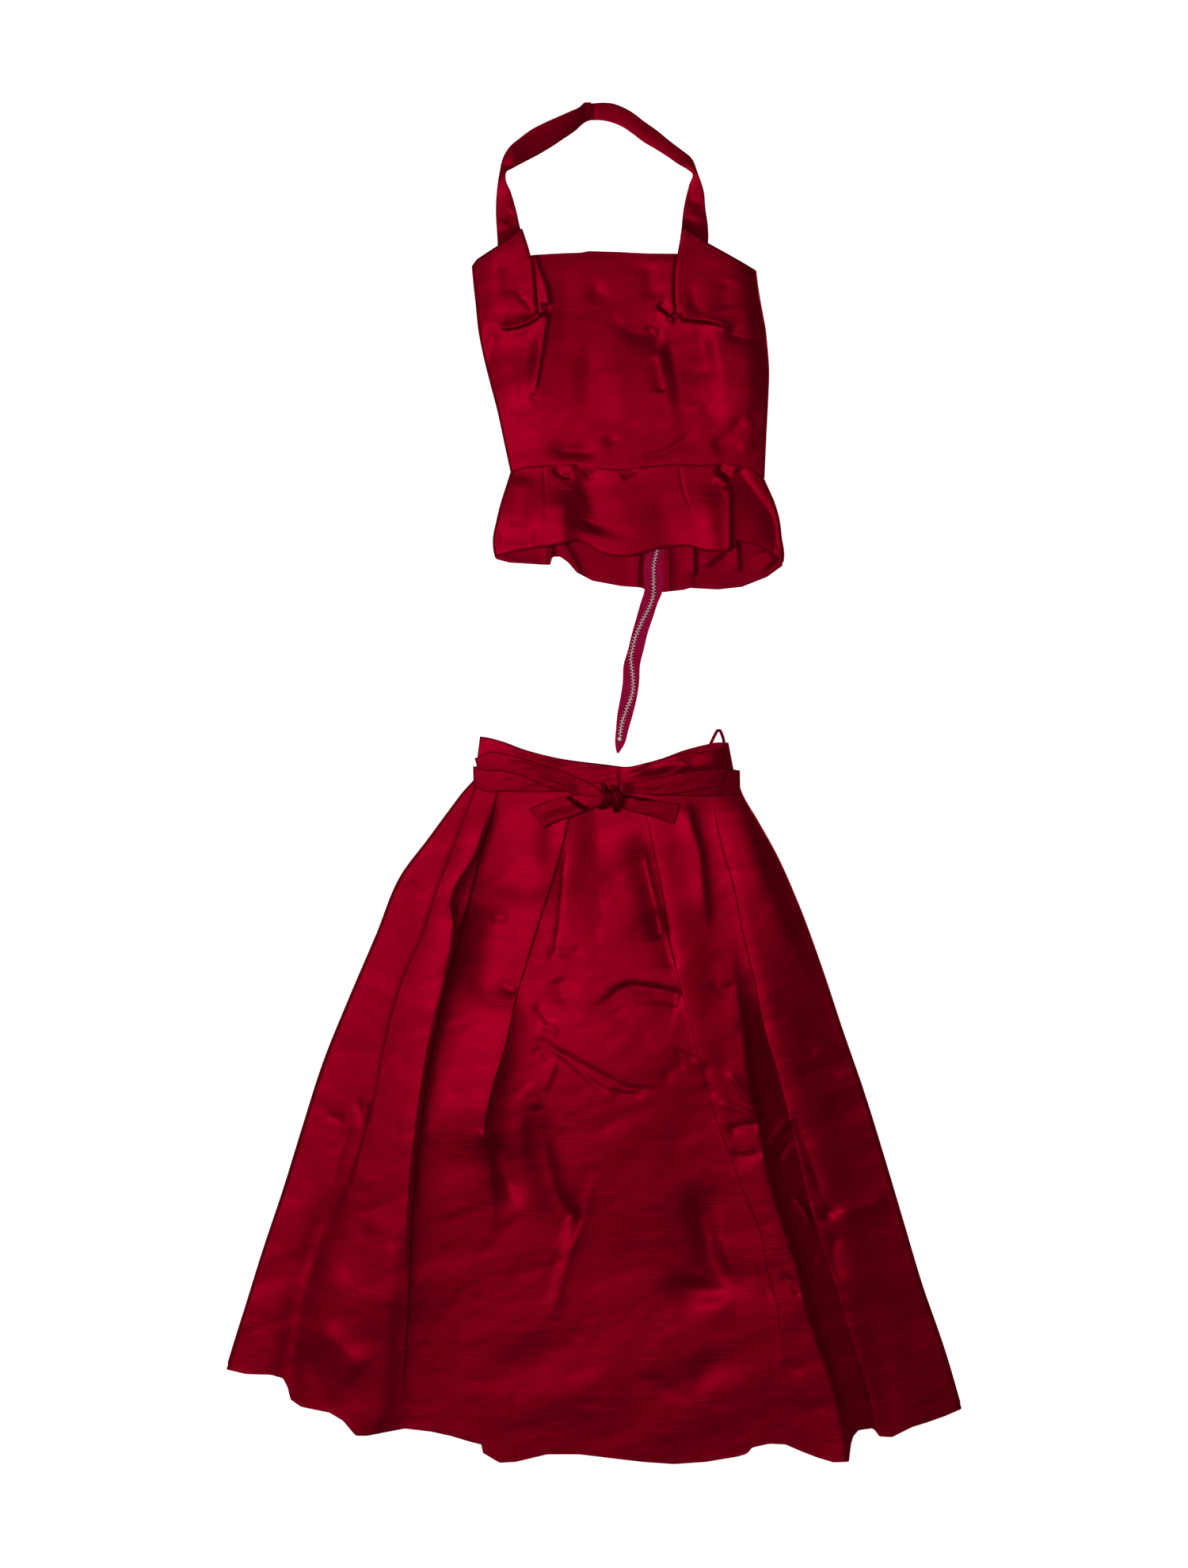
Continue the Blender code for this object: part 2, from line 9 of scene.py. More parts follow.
import bpy
import numpy as np
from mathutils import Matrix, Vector


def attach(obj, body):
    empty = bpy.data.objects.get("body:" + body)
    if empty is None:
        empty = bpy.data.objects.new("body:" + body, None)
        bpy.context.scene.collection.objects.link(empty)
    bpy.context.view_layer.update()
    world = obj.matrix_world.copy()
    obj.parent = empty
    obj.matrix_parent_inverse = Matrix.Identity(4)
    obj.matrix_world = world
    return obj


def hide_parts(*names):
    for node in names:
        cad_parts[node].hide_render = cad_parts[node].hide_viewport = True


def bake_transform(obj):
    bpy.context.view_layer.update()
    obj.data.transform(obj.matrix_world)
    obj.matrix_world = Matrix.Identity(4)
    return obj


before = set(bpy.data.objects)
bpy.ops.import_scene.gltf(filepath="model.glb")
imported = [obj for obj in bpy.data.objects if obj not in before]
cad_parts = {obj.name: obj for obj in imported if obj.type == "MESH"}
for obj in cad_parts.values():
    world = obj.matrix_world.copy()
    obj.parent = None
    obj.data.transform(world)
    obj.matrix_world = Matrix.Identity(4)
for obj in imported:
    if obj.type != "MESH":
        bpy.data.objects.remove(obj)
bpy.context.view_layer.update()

MM = 0.001
DETAIL = 1.0     # share of the full number of rows and columns
CLOTH = 0.6                             # thickness of one layer of satin, in millimetres
RIBBON = 0.8                            # thickness of the sash and straps, which are two layers
WEBBING = 0.5                           # thickness of a zip's tape


# ---------------------------------------------------------------- shapes

def path(*numbers):
    """The places of a line, from their x and y in turn."""
    return list(zip(numbers[::2], numbers[1::2]))


def smooth(value):
    """Eases from 0 to 1 as value goes from 0 to 1."""
    value = np.clip(value, 0.0, 1.0)
    return value * value * (3.0 - 2.0 * value)


def curve(points, count):
    """count places evenly spaced along a smooth curve through given points."""
    points = np.array(points, float)
    steps = np.linalg.norm(np.diff(points[:, :2], axis=0), axis=1)
    at = np.concatenate([[0.0], np.cumsum(steps)]) / steps.sum()
    slopes = np.gradient(points, at, axis=0)
    want = np.linspace(0.0, 1.0, count)
    i = np.clip(np.searchsorted(at, want, side="right") - 1, 0, len(points) - 2)
    span = (at[i + 1] - at[i])[:, None]
    s = ((want - at[i])[:, None]) / span
    return (
        (2 * s**3 - 3 * s**2 + 1) * points[i]
        + (s**3 - 2 * s**2 + s) * span * slopes[i]
        + (3 * s**2 - 2 * s**3) * points[i + 1]
        + (s**3 - s**2) * span * slopes[i + 1]
    )


def beside(line, x, y):
    """Distance from a plan line, positive at its left as it runs (at +X where it runs down), and the share along it."""
    line = np.array(line, float)
    if len(line) > 2:
        line = curve(line, 3 * len(line))
    lengths = np.linalg.norm(np.diff(line, axis=0), axis=1)
    starts = np.concatenate([[0.0], np.cumsum(lengths)[:-1]])
    nearest = np.full(np.shape(x), 1e9)
    signed = np.zeros(np.shape(x))
    along = np.zeros(np.shape(x))
    for (ax, ay), (bx, by), length, start in zip(line, line[1:], lengths, starts):
        dx, dy = bx - ax, by - ay
        share = np.clip(((x - ax) * dx + (y - ay) * dy) / (length * length), 0.0, 1.0)
        gap = np.hypot(x - ax - share * dx, y - ay - share * dy)
        closer = gap < nearest
        side = np.where(dx * (y - ay) - dy * (x - ax) >= 0, 1.0, -1.0)
        nearest = np.where(closer, gap, nearest)
        signed = np.where(closer, gap * side, signed)
        along = np.where(closer, (start + share * length) / lengths.sum(), along)
    return signed, along


def fold(x, y, line, height, before, after, fade_in=0.25, fade_out=0.25):
    """A ridge, or a valley where height is negative, along a plan line.

    before and after are its half-widths at the line's right and left as it runs, and the fades are the shares over
    which it grows and dies away. A narrow fold of this crisp silk has a creased back, and a wide one a round back.
    """
    gap, along = beside(line, x, y)
    width = np.where(gap < 0, before, after)
    back = 0.25 + 0.9 * min(max((min(before, after) - 4.0) / 8.0, 0.0), 1.0)
    across = np.exp(-1.5 * (np.sqrt((gap / width) ** 2 + back * back) - back))
    ends = smooth(along / fade_in) if fade_in else 1.0
    if fade_out:
        ends = ends * smooth((1.0 - along) / fade_out)
    return height * across * ends


def folds(x, y, rows):
    """Several folds, each given as (height, before, after, fades) and then its line's x and y in turn."""
    return sum(fold(x, y, path(*line), *shape) for shape, *line in rows)


def mounds(x, y, rows):
    """Soft rises, or hollows where the height is negative, as (x, y, radius, other radius, height, turn)."""
    z = 0.0
    for middle_x, middle_y, radius, other, height, turn in rows:
        c, s = math.cos(math.radians(turn)), math.sin(math.radians(turn))
        dx, dy = x - middle_x, y - middle_y
        z = z + height * np.exp(-(((dx * c + dy * s) / radius) ** 2) - ((dy * c - dx * s) / other) ** 2)
    return z


def waves(x, y, size, seed):
    """Smooth irregular waves between about -1 and 1; size gives their spacing across and along, in millimetres."""
    cells = np.random.default_rng(seed).uniform(-1.0, 1.0, (61, 61))
    u, v = (x * 0.94 + y * 0.34) / size[0] + 500.0, (y * 0.94 - x * 0.34) / size[1] + 500.0
    i, j = np.floor(u).astype(int), np.floor(v).astype(int)
    fu, fv = u - i, v - j
    fu = fu**3 * (fu * (fu * 6.0 - 15.0) + 10.0)
    fv = fv**3 * (fv * (fv * 6.0 - 15.0) + 10.0)
    i0, i1, j0, j1 = i % 61, (i + 1) % 61, j % 61, (j + 1) % 61
    upper = cells[i0, j0] * (1 - fu) + cells[i1, j0] * fu
    lower = cells[i0, j1] * (1 - fu) + cells[i1, j1] * fu
    return upper * (1 - fv) + lower * fv


def count(full):
    """A number of rows or columns at the present detail."""
    return max(3, int(round(full * DETAIL)))


def level(line, x):
    """How far up or down a line that runs across is at each x."""
    return np.interp(x, *np.array(line, float).T)


# ---------------------------------------------------------------- materials

def feed(tree, node, inputs):
    """Sets a node's inputs to numbers and colours, or links them to other nodes' outputs."""
    for key, value in inputs.items():
        if isinstance(value, bpy.types.NodeSocket):
            tree.links.new(value, node.inputs[key])
        else:
            node.inputs[key].default_value = value


def add_node(tree, kind, inputs, **settings):
    node = tree.nodes.new("ShaderNode" + kind)
    for key, value in settings.items():
        setattr(node, key, value)
    feed(tree, node, inputs)
    return node


def new_material(name):
    made = bpy.data.materials.new(name)
    made.use_nodes = True
    return made, made.node_tree, made.node_tree.nodes["Principled BSDF"]


def stretched_noise(tree, source, scale, detail):
    """A noise texture whose scale differs across and along the cloth."""
    mapping = add_node(tree, "Mapping", {"Vector": source, "Scale": scale})
    inputs = {"Vector": mapping.outputs["Vector"], "Scale": 1.0, "Detail": detail}
    return add_node(tree, "TexNoise", inputs).outputs["Fac"]


def ranged(tree, value, low, high, to_low, to_high):
    """The value carried from one range to another."""
    inputs = {"Value": value, "From Min": low, "From Max": high, "To Min": to_low, "To Max": to_high}
    return add_node(tree, "MapRange", inputs).outputs["Result"]


def combined(tree, operation, a, b):
    return add_node(tree, "Math", {0: a, 1: b}, operation=operation).outputs["Value"]


def mixed(tree, share, dark, light):
    return add_node(tree, "Mix", {0: share, 6: (*dark, 1.0), 7: (*light, 1.0)}, data_type="RGBA").outputs[2]


def bumped(tree, height, distance):
    return add_node(tree, "Bump", {"Strength": 0.5, "Distance": distance, "Height": height}).outputs["Normal"]


def threads(tree):
    return add_node(tree, "UVMap", {}, uv_map="Weave").outputs["UV"]


def dupioni(name, dark, light, roughness=0.46, metallic=0.8):
    """Crisp slubbed silk satin: threads that run across each piece, thickening here and there."""
    made, tree, shader = new_material(name)
    uv = threads(tree)
    cloud = stretched_noise(tree, uv, (9.0, 26.0, 1.0), 2.0)
    thick = ranged(tree, stretched_noise(tree, uv, (12.0, 430.0, 1.0), 3.0), 0.56, 0.72, 0.0, 1.0)
    fine = ranged(tree, stretched_noise(tree, uv, (55.0, 1200.0, 1.0), 1.0), 0.3, 0.7, 0.0, 1.0)
    tone = combined(tree, "ADD", ranged(tree, cloud, 0.3, 0.7, 0.40, 0.54), combined(tree, "MULTIPLY", fine, 0.16))
    tone = combined(tree, "ADD", tone, combined(tree, "MULTIPLY", thick, 0.42))
    gloss = combined(tree, "ADD", ranged(tree, cloud, 0.3, 0.7, roughness - 0.04, roughness + 0.04),
                     combined(tree, "MULTIPLY", thick, 0.06))
    height = combined(tree, "ADD", combined(tree, "MULTIPLY", fine, 0.25), thick)
    feed(tree, shader, {
        "Base Color": mixed(tree, tone, dark, light), "Roughness": gloss, "Normal": bumped(tree, height, 0.00016),
        "Metallic": metallic, "Specular IOR Level": 0.2, "Specular Tint": (1.0, 0.0, 0.1, 1.0),
    })
    return made


def woven_tape(name, dark, light):
    """Cotton zip tape with fine cross ribs."""
    made, tree, shader = new_material(name)
    uv = threads(tree)
    rib = ranged(tree, stretched_noise(tree, uv, (250.0, 1500.0, 1.0), 2.0), 0.35, 0.65, 0.0, 1.0)
    patch = ranged(tree, stretched_noise(tree, uv, (60.0, 40.0, 1.0), 2.0), 0.3, 0.7, 0.2, 0.6)
    tone = combined(tree, "ADD", patch, combined(tree, "MULTIPLY", rib, 0.3))
    feed(tree, shader, {
        "Base Color": mixed(tree, tone, dark, light), "Roughness": ranged(tree, rib, 0.0, 1.0, 0.62, 0.78),
        "Specular IOR Level": 0.1, "Normal": bumped(tree, rib, 0.0002),
    })
    return made


def worn_metal(name, colour):
    """Nickel-plated brass with slight tarnish."""
    made, tree, shader = new_material(name)
    place = add_node(tree, "TexCoord", {}).outputs["Object"]
    tarnish = stretched_noise(tree, place, (420.0, 420.0, 420.0), 4.0)
    clean = ranged(tree, tarnish, 0.3, 0.6, 0.0, 1.0)
    feed(tree, shader, {
        "Base Color": mixed(tree, clean, [c * 0.45 for c in colour], colour), "Metallic": 1.0,
        "Roughness": ranged(tree, tarnish, 0.3, 0.7, 0.42, 0.24),
    })
    return made


SATIN = dupioni("crimson_dupioni", (0.12, 0.0, 0.005), (0.40, 0.0, 0.020))
LINING = dupioni("facing_dupioni", (0.12, 0.0, 0.005), (0.38, 0.0, 0.020), roughness=0.5, metallic=0.6)
SASH = dupioni("sash_dupioni", (0.092, 0.0, 0.0037), (0.28, 0.0, 0.014), roughness=0.46)
LOOP = dupioni("loop_satin", (0.16, 0.0, 0.008), (0.50, 0.0, 0.03), roughness=0.35, metallic=0.6)
TAPE = woven_tape("zip_tape_weave", (0.39, 0.0, 0.047), (0.72, 0.0, 0.094))
METAL = worn_metal("zip_nickel", (0.32, 0.31, 0.30))


# ---------------------------------------------------------------- pieces

# Bodies where the real cloth bends as it leaves another body, with that body and where the bend starts and ends,
# in metres. Only their names are read: cloth of these bodies is kept unparented.
BENDS = {
    "neck_strap": ("top", (0.010, 0.700, 0.0095), (0.010, 0.722, 0.0095)),
    "hanger_loop": ("skirt", (0.163, 0.053, 0.0044), (0.163, 0.061, 0.0044)),
    "zip_tail": ("top", (0.081, 0.264, 0.002), (0.081, 0.250, 0.002)),
}


def quads(rows, cols, start=0):
    """The faces of a grid of vertices."""
    index = start + np.arange(rows * cols).reshape(rows, cols)
    corners = [index[:-1, :-1], index[1:, :-1], index[1:, 1:], index[:-1, 1:]]
    return np.stack(corners, axis=-1).reshape(-1, 4).tolist()


def new_piece(name, vertices, faces, material, uv=None):
    """A mesh in millimetres, with each vertex's thread coordinates if it is a cloth."""
    mesh = bpy.data.meshes.new(name)
    mesh.from_pydata((np.array(vertices) * MM).tolist(), [], faces)
    if uv is not None:
        layer = mesh.uv_layers.new(name="Weave")
        corners = np.zeros(len(mesh.loops), int)
        mesh.loops.foreach_get("vertex_index", corners)
        layer.data.foreach_set("uv", (uv[corners] * MM).ravel())
        mesh.polygons.foreach_set("use_smooth", np.ones(len(mesh.polygons), bool))
    mesh.materials.append(material)
    piece = bpy.data.objects.new(name, mesh)
    bpy.context.scene.collection.objects.link(piece)
    return piece


def thicken(piece, thickness, seamed=False):
    solid = piece.modifiers.new("Cloth", "SOLIDIFY")
    solid.thickness = thickness * MM
    solid.offset = -1.0
    solid.use_rim = not seamed


def carry(piece, node, body):
    """Parents a piece to its body, or keeps it unparented for a body in BENDS, and hides the CAD part of the node it
    stands for.
    """
    if body in BENDS:
        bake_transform(piece)
    else:
        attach(piece, body)
    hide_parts(node)


def faces_up(grid):
    """True if the grid's faces look up from the table."""
    down, across = grid[1:, :-1] - grid[:-1, :-1], grid[:-1, 1:] - grid[:-1, :-1]
    return (down[..., 0] * across[..., 1] - down[..., 1] * across[..., 0]).sum() > 0


def weave_of(grid):
    """Thread coordinates in millimetres: across along each row, and down by the rows' mean distance."""
    across = np.linalg.norm(np.diff(grid, axis=1), axis=2)
    across = np.concatenate([np.zeros((len(grid), 1)), np.cumsum(across, axis=1)], axis=1)
    across = across - across[:, [grid.shape[1] // 2]]
    down = np.linalg.norm(np.diff(grid, axis=0), axis=2).mean(axis=1)
    down = np.concatenate([[0.0], np.cumsum(down)])
    return np.stack([across, np.repeat(down[:, None], grid.shape[1], axis=1)], axis=-1)


def lay(name, grid, body, flat, rests_on=(), area=None, material=SATIN, slot="crimson_satin", thickness=CLOTH,
        columns=slice(None), seamed=False, lengthwise=False):
    """The cloth of a node, from a grid of rows x columns x 3 in millimetres, thickened downwards from the grid.

    flat and area, what it was cut from, are not used. columns picks part of the grid, a seamed cloth is left open round
    its edge, and the threads of a lengthwise one run along it.
    """
    uv = weave_of(grid)
    if lengthwise:
        uv = uv[:, :, ::-1]
    if not faces_up(grid):
        grid, uv = grid[:, ::-1], uv[:, ::-1]
    grid, uv = grid[:, columns], uv[:, columns]
    piece = new_piece("cloth_" + name, grid.reshape(-1, 3), quads(*grid.shape[:2]), material, uv.reshape(-1, 2))
    thicken(piece, thickness, seamed)
    piece.modifiers.new("Shading", "WEIGHTED_NORMAL")
    carry(piece, name, body)


def shares(rows, cols):
    """Each place's share of the way down a grid and across it."""
    return np.meshgrid(np.linspace(0.0, 1.0, rows), np.linspace(0.0, 1.0, cols), indexing="ij")


def between(left, right, rows, cols):
    """Plan places of a panel between two side lines."""
    a, b = curve(left, rows), curve(right, rows)
    share = np.linspace(0.0, 1.0, cols)[None, :, None]
    return a[:, None, :] * (1 - share) + b[:, None, :] * share


def to_line(plan, row, line, reach):
    """Moves a panel's first or last row on to a line, and the rows near it less and less."""
    share = np.linspace(0.0, 1.0, len(plan))[:, None]
    near = smooth(1.0 - share / reach) if row == 0 else smooth((share - (1.0 - reach)) / reach)
    plan[:, :, 1] += (level(line, plan[row, :, 0]) - plan[row, :, 1])[None, :] * near


def side_roll(x, left, right, rise=5.0, reach=(30.0, 32.0)):
    """Height of cloth that rounds up from both side folds of a garment, over a reach from each."""
    from_left, from_right = np.maximum(x - left, 0.0), np.maximum(right - x, 0.0)
    turn = np.clip(np.minimum(from_left, from_right) / 4.5, 0.0, 1.0)
    swell = (1.0 - np.exp(-((from_left / reach[0]) ** 1.4))) * (1.0 - np.exp(-((from_right / reach[1]) ** 1.4)))
    return 0.9 + 2.6 * np.sqrt(1.0 - (1.0 - turn) ** 2) + rise * swell


# ---------------------------------------------------------------- skirt

SKIRT_LEFT = path(
    -158,6, -171,-8, -194,-38, -222,-76, -255,-120, -289,-201, -325,-285, -359,-369, -386,-453, -412,-537, -440,-621,
    -466,-705, -487,-776,
)
PLEAT_A = path(
    -152,6, -172,-45, -192,-98, -209,-142, -227,-198, -255,-262, -278,-345, -290,-410, -306,-470, -330,-545,
    -355,-600, -384,-680, -401,-760, -405,-812,
)
PLEAT_B = path(
    -126,6, -131,-30, -144,-75, -163,-150, -180,-213, -195,-262, -208,-325, -222,-410, -230,-475, -239,-572,
    -245,-700, -250,-790, -252,-854,
)
PLEAT_C = path(
    -26,6, -31,-35, -45,-98, -69,-174, -88,-236, -101,-278, -117,-350, -133,-402, -143,-455, -136,-510, -133,-570,
    -140,-680, -146,-790, -148,-880,
)
PLEAT_D = path(
    64,6, 69,-40, 78,-86, 90,-145, 99,-209, 112,-260, 125,-309, 145,-389, 158,-435, 179,-490, 200,-547, 218,-590,
    229,-642, 241,-690, 244,-760, 240,-875,
)
PLEAT_E = path(
    156,6, 159,-35, 168,-82, 183,-133, 195,-192, 211,-260, 226,-330, 241,-380, 255,-433, 268,-485, 283,-550, 299,-604,
    316,-655, 338,-726, 361,-796, 375,-856,
)
SKIRT_RIGHT = path(
    190,6, 196,-12, 217,-49, 241,-92, 271,-159, 302,-243, 330,-327, 359,-411, 385,-495, 410,-579, 435,-663, 464,-747,
    487,-828,
)
HEM = path(
    -487,-776, -461,-782, -428,-783, -412,-788, -406,-800, -402,-816, -388,-825, -350,-832, -332,-842, -315,-862,
    -300,-862, -272,-857, -250,-853, -215,-857, -188,-863, -165,-870, -149,-874, -147,-885, -125,-898, -104,-897,
    -83,-892, -62,-887, -20,-887, 22,-892, 64,-897, 106,-900, 148,-897, 190,-890, 203,-886, 209,-878, 232,-873,
    253,-874, 274,-883, 295,-891, 316,-897, 337,-896, 341,-866, 350,-856, 370,-854, 377,-863, 394,-864, 421,-851,
    442,-845, 463,-838, 487,-828,
)
VALLEY_EDGE = path(
    180,-190, 190,-265, 199,-316, 208,-398, 222,-459, 238,-539, 255,-591, 270,-636, 282,-690, 298,-739, 318,-796,
    330,-845, 338,-890,
)

# Each pleat: its line, which side lies on top (1 left, -1 right), how far the raised side slopes, how far the lower
# side slopes, and at each height down the skirt how high its edge stands over the lower side, how deep it is tucked
# and how high the lower side starts.
PLEATS = [
    (PLEAT_A, -1, 40, 20, [
        (0, 2.4, 6, 0), (-60, 1.8, 4, 0), (-200, 1.6, 3, 0), (-330, 1.8, 4, 0), (-440, 1.6, 4, 0), (-540, 0.8, 1, 0),
        (-600, 0, 0, 0),
    ]),
    (PLEAT_B, 1, 110, 44, [
        (0, 3, 8, 0), (-68, 4, 12, 0), (-150, 5, 16, 3), (-185, 5, 16, 9), (-300, 5, 16, 11), (-475, 5, 14, 9), (-600,
        4.6, 10, 8), (-690, 3.8, 8, 6), (-740, 2.8, 5, 3), (-800, 0.6, 1, 1), (-840, 0, 0, 0),
    ]),
    (PLEAT_C, 1, 55, 19, [
        (0, 2.6, 8, 0), (-100, 3, 10, 0), (-236, 3, 10, 0), (-276, 2.6, 8, 0), (-300, 2.6, 8, 3), (-353, 2.8, 8, 7),
        (-430, 3, 8, 9), (-462, 2, 4, 8), (-500, 0, 0, 6), (-560, 0, 0, 2), (-620, 0, 0, 0),
    ]),
    (PLEAT_D, -1, 45, 20, [
        (0, 2, 8, 0), (-86, 3.2, 12, 0), (-209, 4, 12, 0), (-309, 4, 10, 0), (-389, 5, 9, 0), (-547, 4, 6, 0), (-640,
        2.6, 4, 0), (-740, 1, 1, 0), (-800, 0, 0, 0),
    ]),
    (PLEAT_E, -1, 55, 20, [
        (0, 3, 8, 0), (-76, 3.4, 10, 0), (-133, 4, 14, 0), (-192, 4.6, 16, 0), (-265, 5, 14, 0), (-374, 6, 12, 0),
        (-475, 6, 10, 0), (-604, 6, 8, 0), (-726, 5, 6, 0), (-796, 5, 5, 0), (-870, 4, 4, 0),
    ]),
]
PANEL_COLUMNS = [26, 44, 34, 92, 40, 34]
SKIRT_ROWS = 280
ZONE = 13               # columns that make one pleat's edge and its tuck
ZONE_HALF = 7.0         # millimetres beside the line that they take
TUCK = 7                # the column, in a left-over-right pleat, at the bottom of its tuck
EDGE_ROUND = 1.5
# At each column of a zone: its share of the step, and how much of the zone, the round edge and the tuck moves it.
TUCK_SHARES = [1.0, 1.0, 0.97, 0.86, 0.74, 0.66, 0.56, 0.45, 0.36, 0.22, 0.10, 0.03, 0.0]
TUCK_ZONE = [-1.0, -0.5, 0, 0, 0, 0, 0, 0, 0, 0, 0, 0.4, 1.0]
TUCK_ROUND = [0, 0, -0.8, 0, -0.5, 0, 0, 0, 0, 0, 0, 0, 0]
TUCK_DEPTH = [0, 0, 0, 0, -0.05, -0.35, -0.8, -1.0, -0.85, -0.4, -0.1, 0, 0]
# Each fold is (height, half-width before and after its line, fades where they aren't 0.25), then its x and y in turn,
# and each mound is (x, y, radius, other radius, height, turn).
SKIRT_FOLDS = [
    # the tall pleat at the left: its crest runs beside its edge, and the cloth past its edge slopes away
    ((5, 40, 7, 0.1, 0.3), -129,-12, -139,-39, -150,-70, -161,-98, -182,-131, -192,-162, -188,-188, -194,-242,
     -207,-294, -218,-340, -231,-410, -239,-475, -248,-572, -254,-700),
    ((2.2, 5, 5), -190,-150, -181,-190, -170,-166),
    ((4, 26, 14, 0.3, 0), -262,-560, -274,-700, -282,-830),
    # soft valley that carries the first pleat on to the hem
    ((-5, 16, 15, 0.3, 0), -325,-500, -355,-575, -384,-660, -403,-760, -406,-812),
    ((3, 30, 34, 0.3, 0), -352,-610, -330,-700, -322,-850),
    ((3.4, 24, 12), -368,-713, -339,-742, -300,-781),
    ((-1, 7, 7), -320,-447, -339,-498, -348,-539),
    ((-1.2, 5, 6), -355,-439, -329,-447),
    ((-1.4, 5, 5), -313,-411, -305,-445, -298,-416),
    # front left panel
    ((1.2, 18, 30), -66,-60, -84,-150, -104,-250),
    ((-1, 5, 6), -136,-180, -113,-177),
    ((-6, 30, 34, 0.3, 0.35), -124,-120, -132,-180, -142,-240, -158,-310),
    ((-1.8, 7, 9, 0.5, 0.1), -128,-256, -118,-268, -102,-276),
    # centre: crumples below the two upper pleats
    ((-0.9, 4, 5), -36,-68, -41,-123, -48,-198, -54,-236),
    ((-3.8, 22, 5, 0.5, 0.05), -17,-306, 2,-296, 18,-285, 30,-274, 46,-268, 67,-269, 92,-273, 117,-279),
    ((-1.1, 3, 4, 0.4, 0.1), -6,-317, 10,-314, 25,-306, 40,-296, 58,-289, 88,-288, 120,-294),
    ((-1.4, 12, 10), -48,-256, -38,-292),
    ((-1.2, 5, 7), -62,-240, -50,-222, -28,-226, -14,-214),
    ((-1.6, 4.5, 3, 0.2, 0.3), -83,-336, -68,-340, -52,-352, -34,-366, -17,-380, 8,-401, 39,-411),
    ((-1.7, 5, 3.5, 0.2, 0.3), -62,-348, -42,-355, -24,-366, 8,-384, 39,-399, 74,-404, 97,-401),
    ((-2, 6, 3.5, 0.3, 0.3), 18,-405, 42,-410, 70,-411),
    ((-0.9, 6, 8), 95,-402, 98,-385, 108,-375, 124,-372),
    ((-1.3, 4, 4), 104,-352, 122,-360, 135,-368),
    ((-1.2, 6, 6), -80,-290, -66,-306, -58,-322),
    ((1, 5, 5), -76,-320, -60,-322, -46,-334),
    ((-1.2, 3.5, 3.5), -82,-362, -72,-352, -58,-366, -50,-362),
    ((1.4, 7, 3.5), -50,-362, -57,-385, -66,-410),
    ((1.8, 8, 8), -92,-400, -82,-410, -76,-432),
    # dark hollows below the centre-left pleat
    ((1.8, 4, 4), -152,-456, -143,-470, -131,-458),
    ((-6, 16, 14, 0.3, 0.4), -138,-462, -124,-500, -112,-540, -104,-572),
    ((2, 14, 10, 0.5, 0.4), -98,-400, -96,-440, -98,-480, -90,-520),
    ((-7, 24, 11, 0.6, 0.1), -84,-400, -72,-460, -62,-510, -48,-552, -30,-574, -14,-580),
    ((1.3, 16, 6), 13,-501, -15,-565, -29,-611, -38,-642, -54,-700, -60,-732),
    ((-0.8, 8, 8), -2,-500, -30,-570, -52,-640, -66,-700),
    # the soft hook at the lower right of the centre
    ((-5.6, 15, 17), 128,-520, 149,-591, 158,-636, 176,-664, 145,-672, 100,-664, 77,-659),
    ((2.2, 12, 10), 150,-540, 168,-600, 184,-650, 170,-690, 120,-696),
    ((-0.8, 3, 3), -102,-793, -109,-845),
    # the right side slopes away from its pleat, and the cloth swells and sinks across the middle
    ((3.6, 20, 50, 0.1, 0.45), 170,-20, 182,-70, 198,-133, 210,-192, 228,-260, 250,-350, 276,-450, 300,-560),
    ((2.2, 5, 8), 175,-376, 186,-394, 197,-411, 217,-427),
    ((-1.8, 5, 6), 143,-365, 152,-398, 159,-421),
    ((2, 8, 4), 159,-422, 176,-424, 200,-432, 219,-446),
    ((-2.4, 8, 5), 172,-462, 195,-452, 222,-450),
    ((-1.6, 7, 6), 178,-490, 203,-492, 226,-486),
    ((-1.2, 4, 4), 204,-300, 196,-318, 188,-322),
    ((-1.3, 6, 5), 150,-262, 172,-272, 192,-262),
    ((-1, 6, 6), 214,-640, 226,-660, 234,-690),
    ((-1.4, 6, 6), 244,-648, 262,-660, 272,-684),
    ((-1, 6, 6), 250,-760, 262,-772, 280,-775),
    # right pleat and side
    ((4.6, 22, 11, 0.1, 0.5), 188,-6, 202,-53, 214,-89, 232,-144, 251,-190, 276,-240, 305,-310),
    ((3.6, 16, 7, 0.15, 0.3), 122,-20, 127,-50, 139,-92, 144,-140, 150,-200),
    ((-5, 20, 8, 0.3, 0.1), 60,-60, 68,-110, 80,-160, 88,-212),
    ((-2.4, 18, 14, 0.1, 0.5), -2,-20, 4,-70, -2,-130),
    ((-2.2, 14, 12, 0.1, 0.5), -52,-30, -58,-80, -68,-120),
    ((-2.4, 16, 7, 0.2, 0.2), 84,-160, 95,-205, 107,-252),
    ((-1.8, 6, 7), 261,-433, 286,-501, 302,-548),
    ((2.6, 16, 6), 316,-572, 361,-556, 392,-547),
    ((-1.8, 8, 8), 322,-590, 316,-625, 330,-660),
    ((-1.6, 14, 16, 0.3, 0), 347,-660, 373,-748, 392,-840),
    ((-1.4, 12, 14), 378,-400, 330,-430, 300,-420),
    ((-1.2, 8, 9), 262,-340, 300,-336, 345,-352),
    ((1.4, 10, 7), 286,-362, 312,-352, 336,-362),
    ((-1.2, 7, 9), 264,-392, 292,-380, 330,-388),
]
SKIRT_MOUNDS = [
    (70, -560, 60, 70, 2.4, 0),
    (155, -775, 32, 18, -2.2, 20),
    (92, -800, 30, 10, -1.4, -25),
    (-30, -815, 95, 30, 1.8, 0),
    (25, -372, 130, 135, 8.5, 0),
    (50, -640, 130, 90, -4, 0),
    (20, -120, 46, 80, -2.6, 0),
    (309, -568, 9, 9, -3, 0),
]
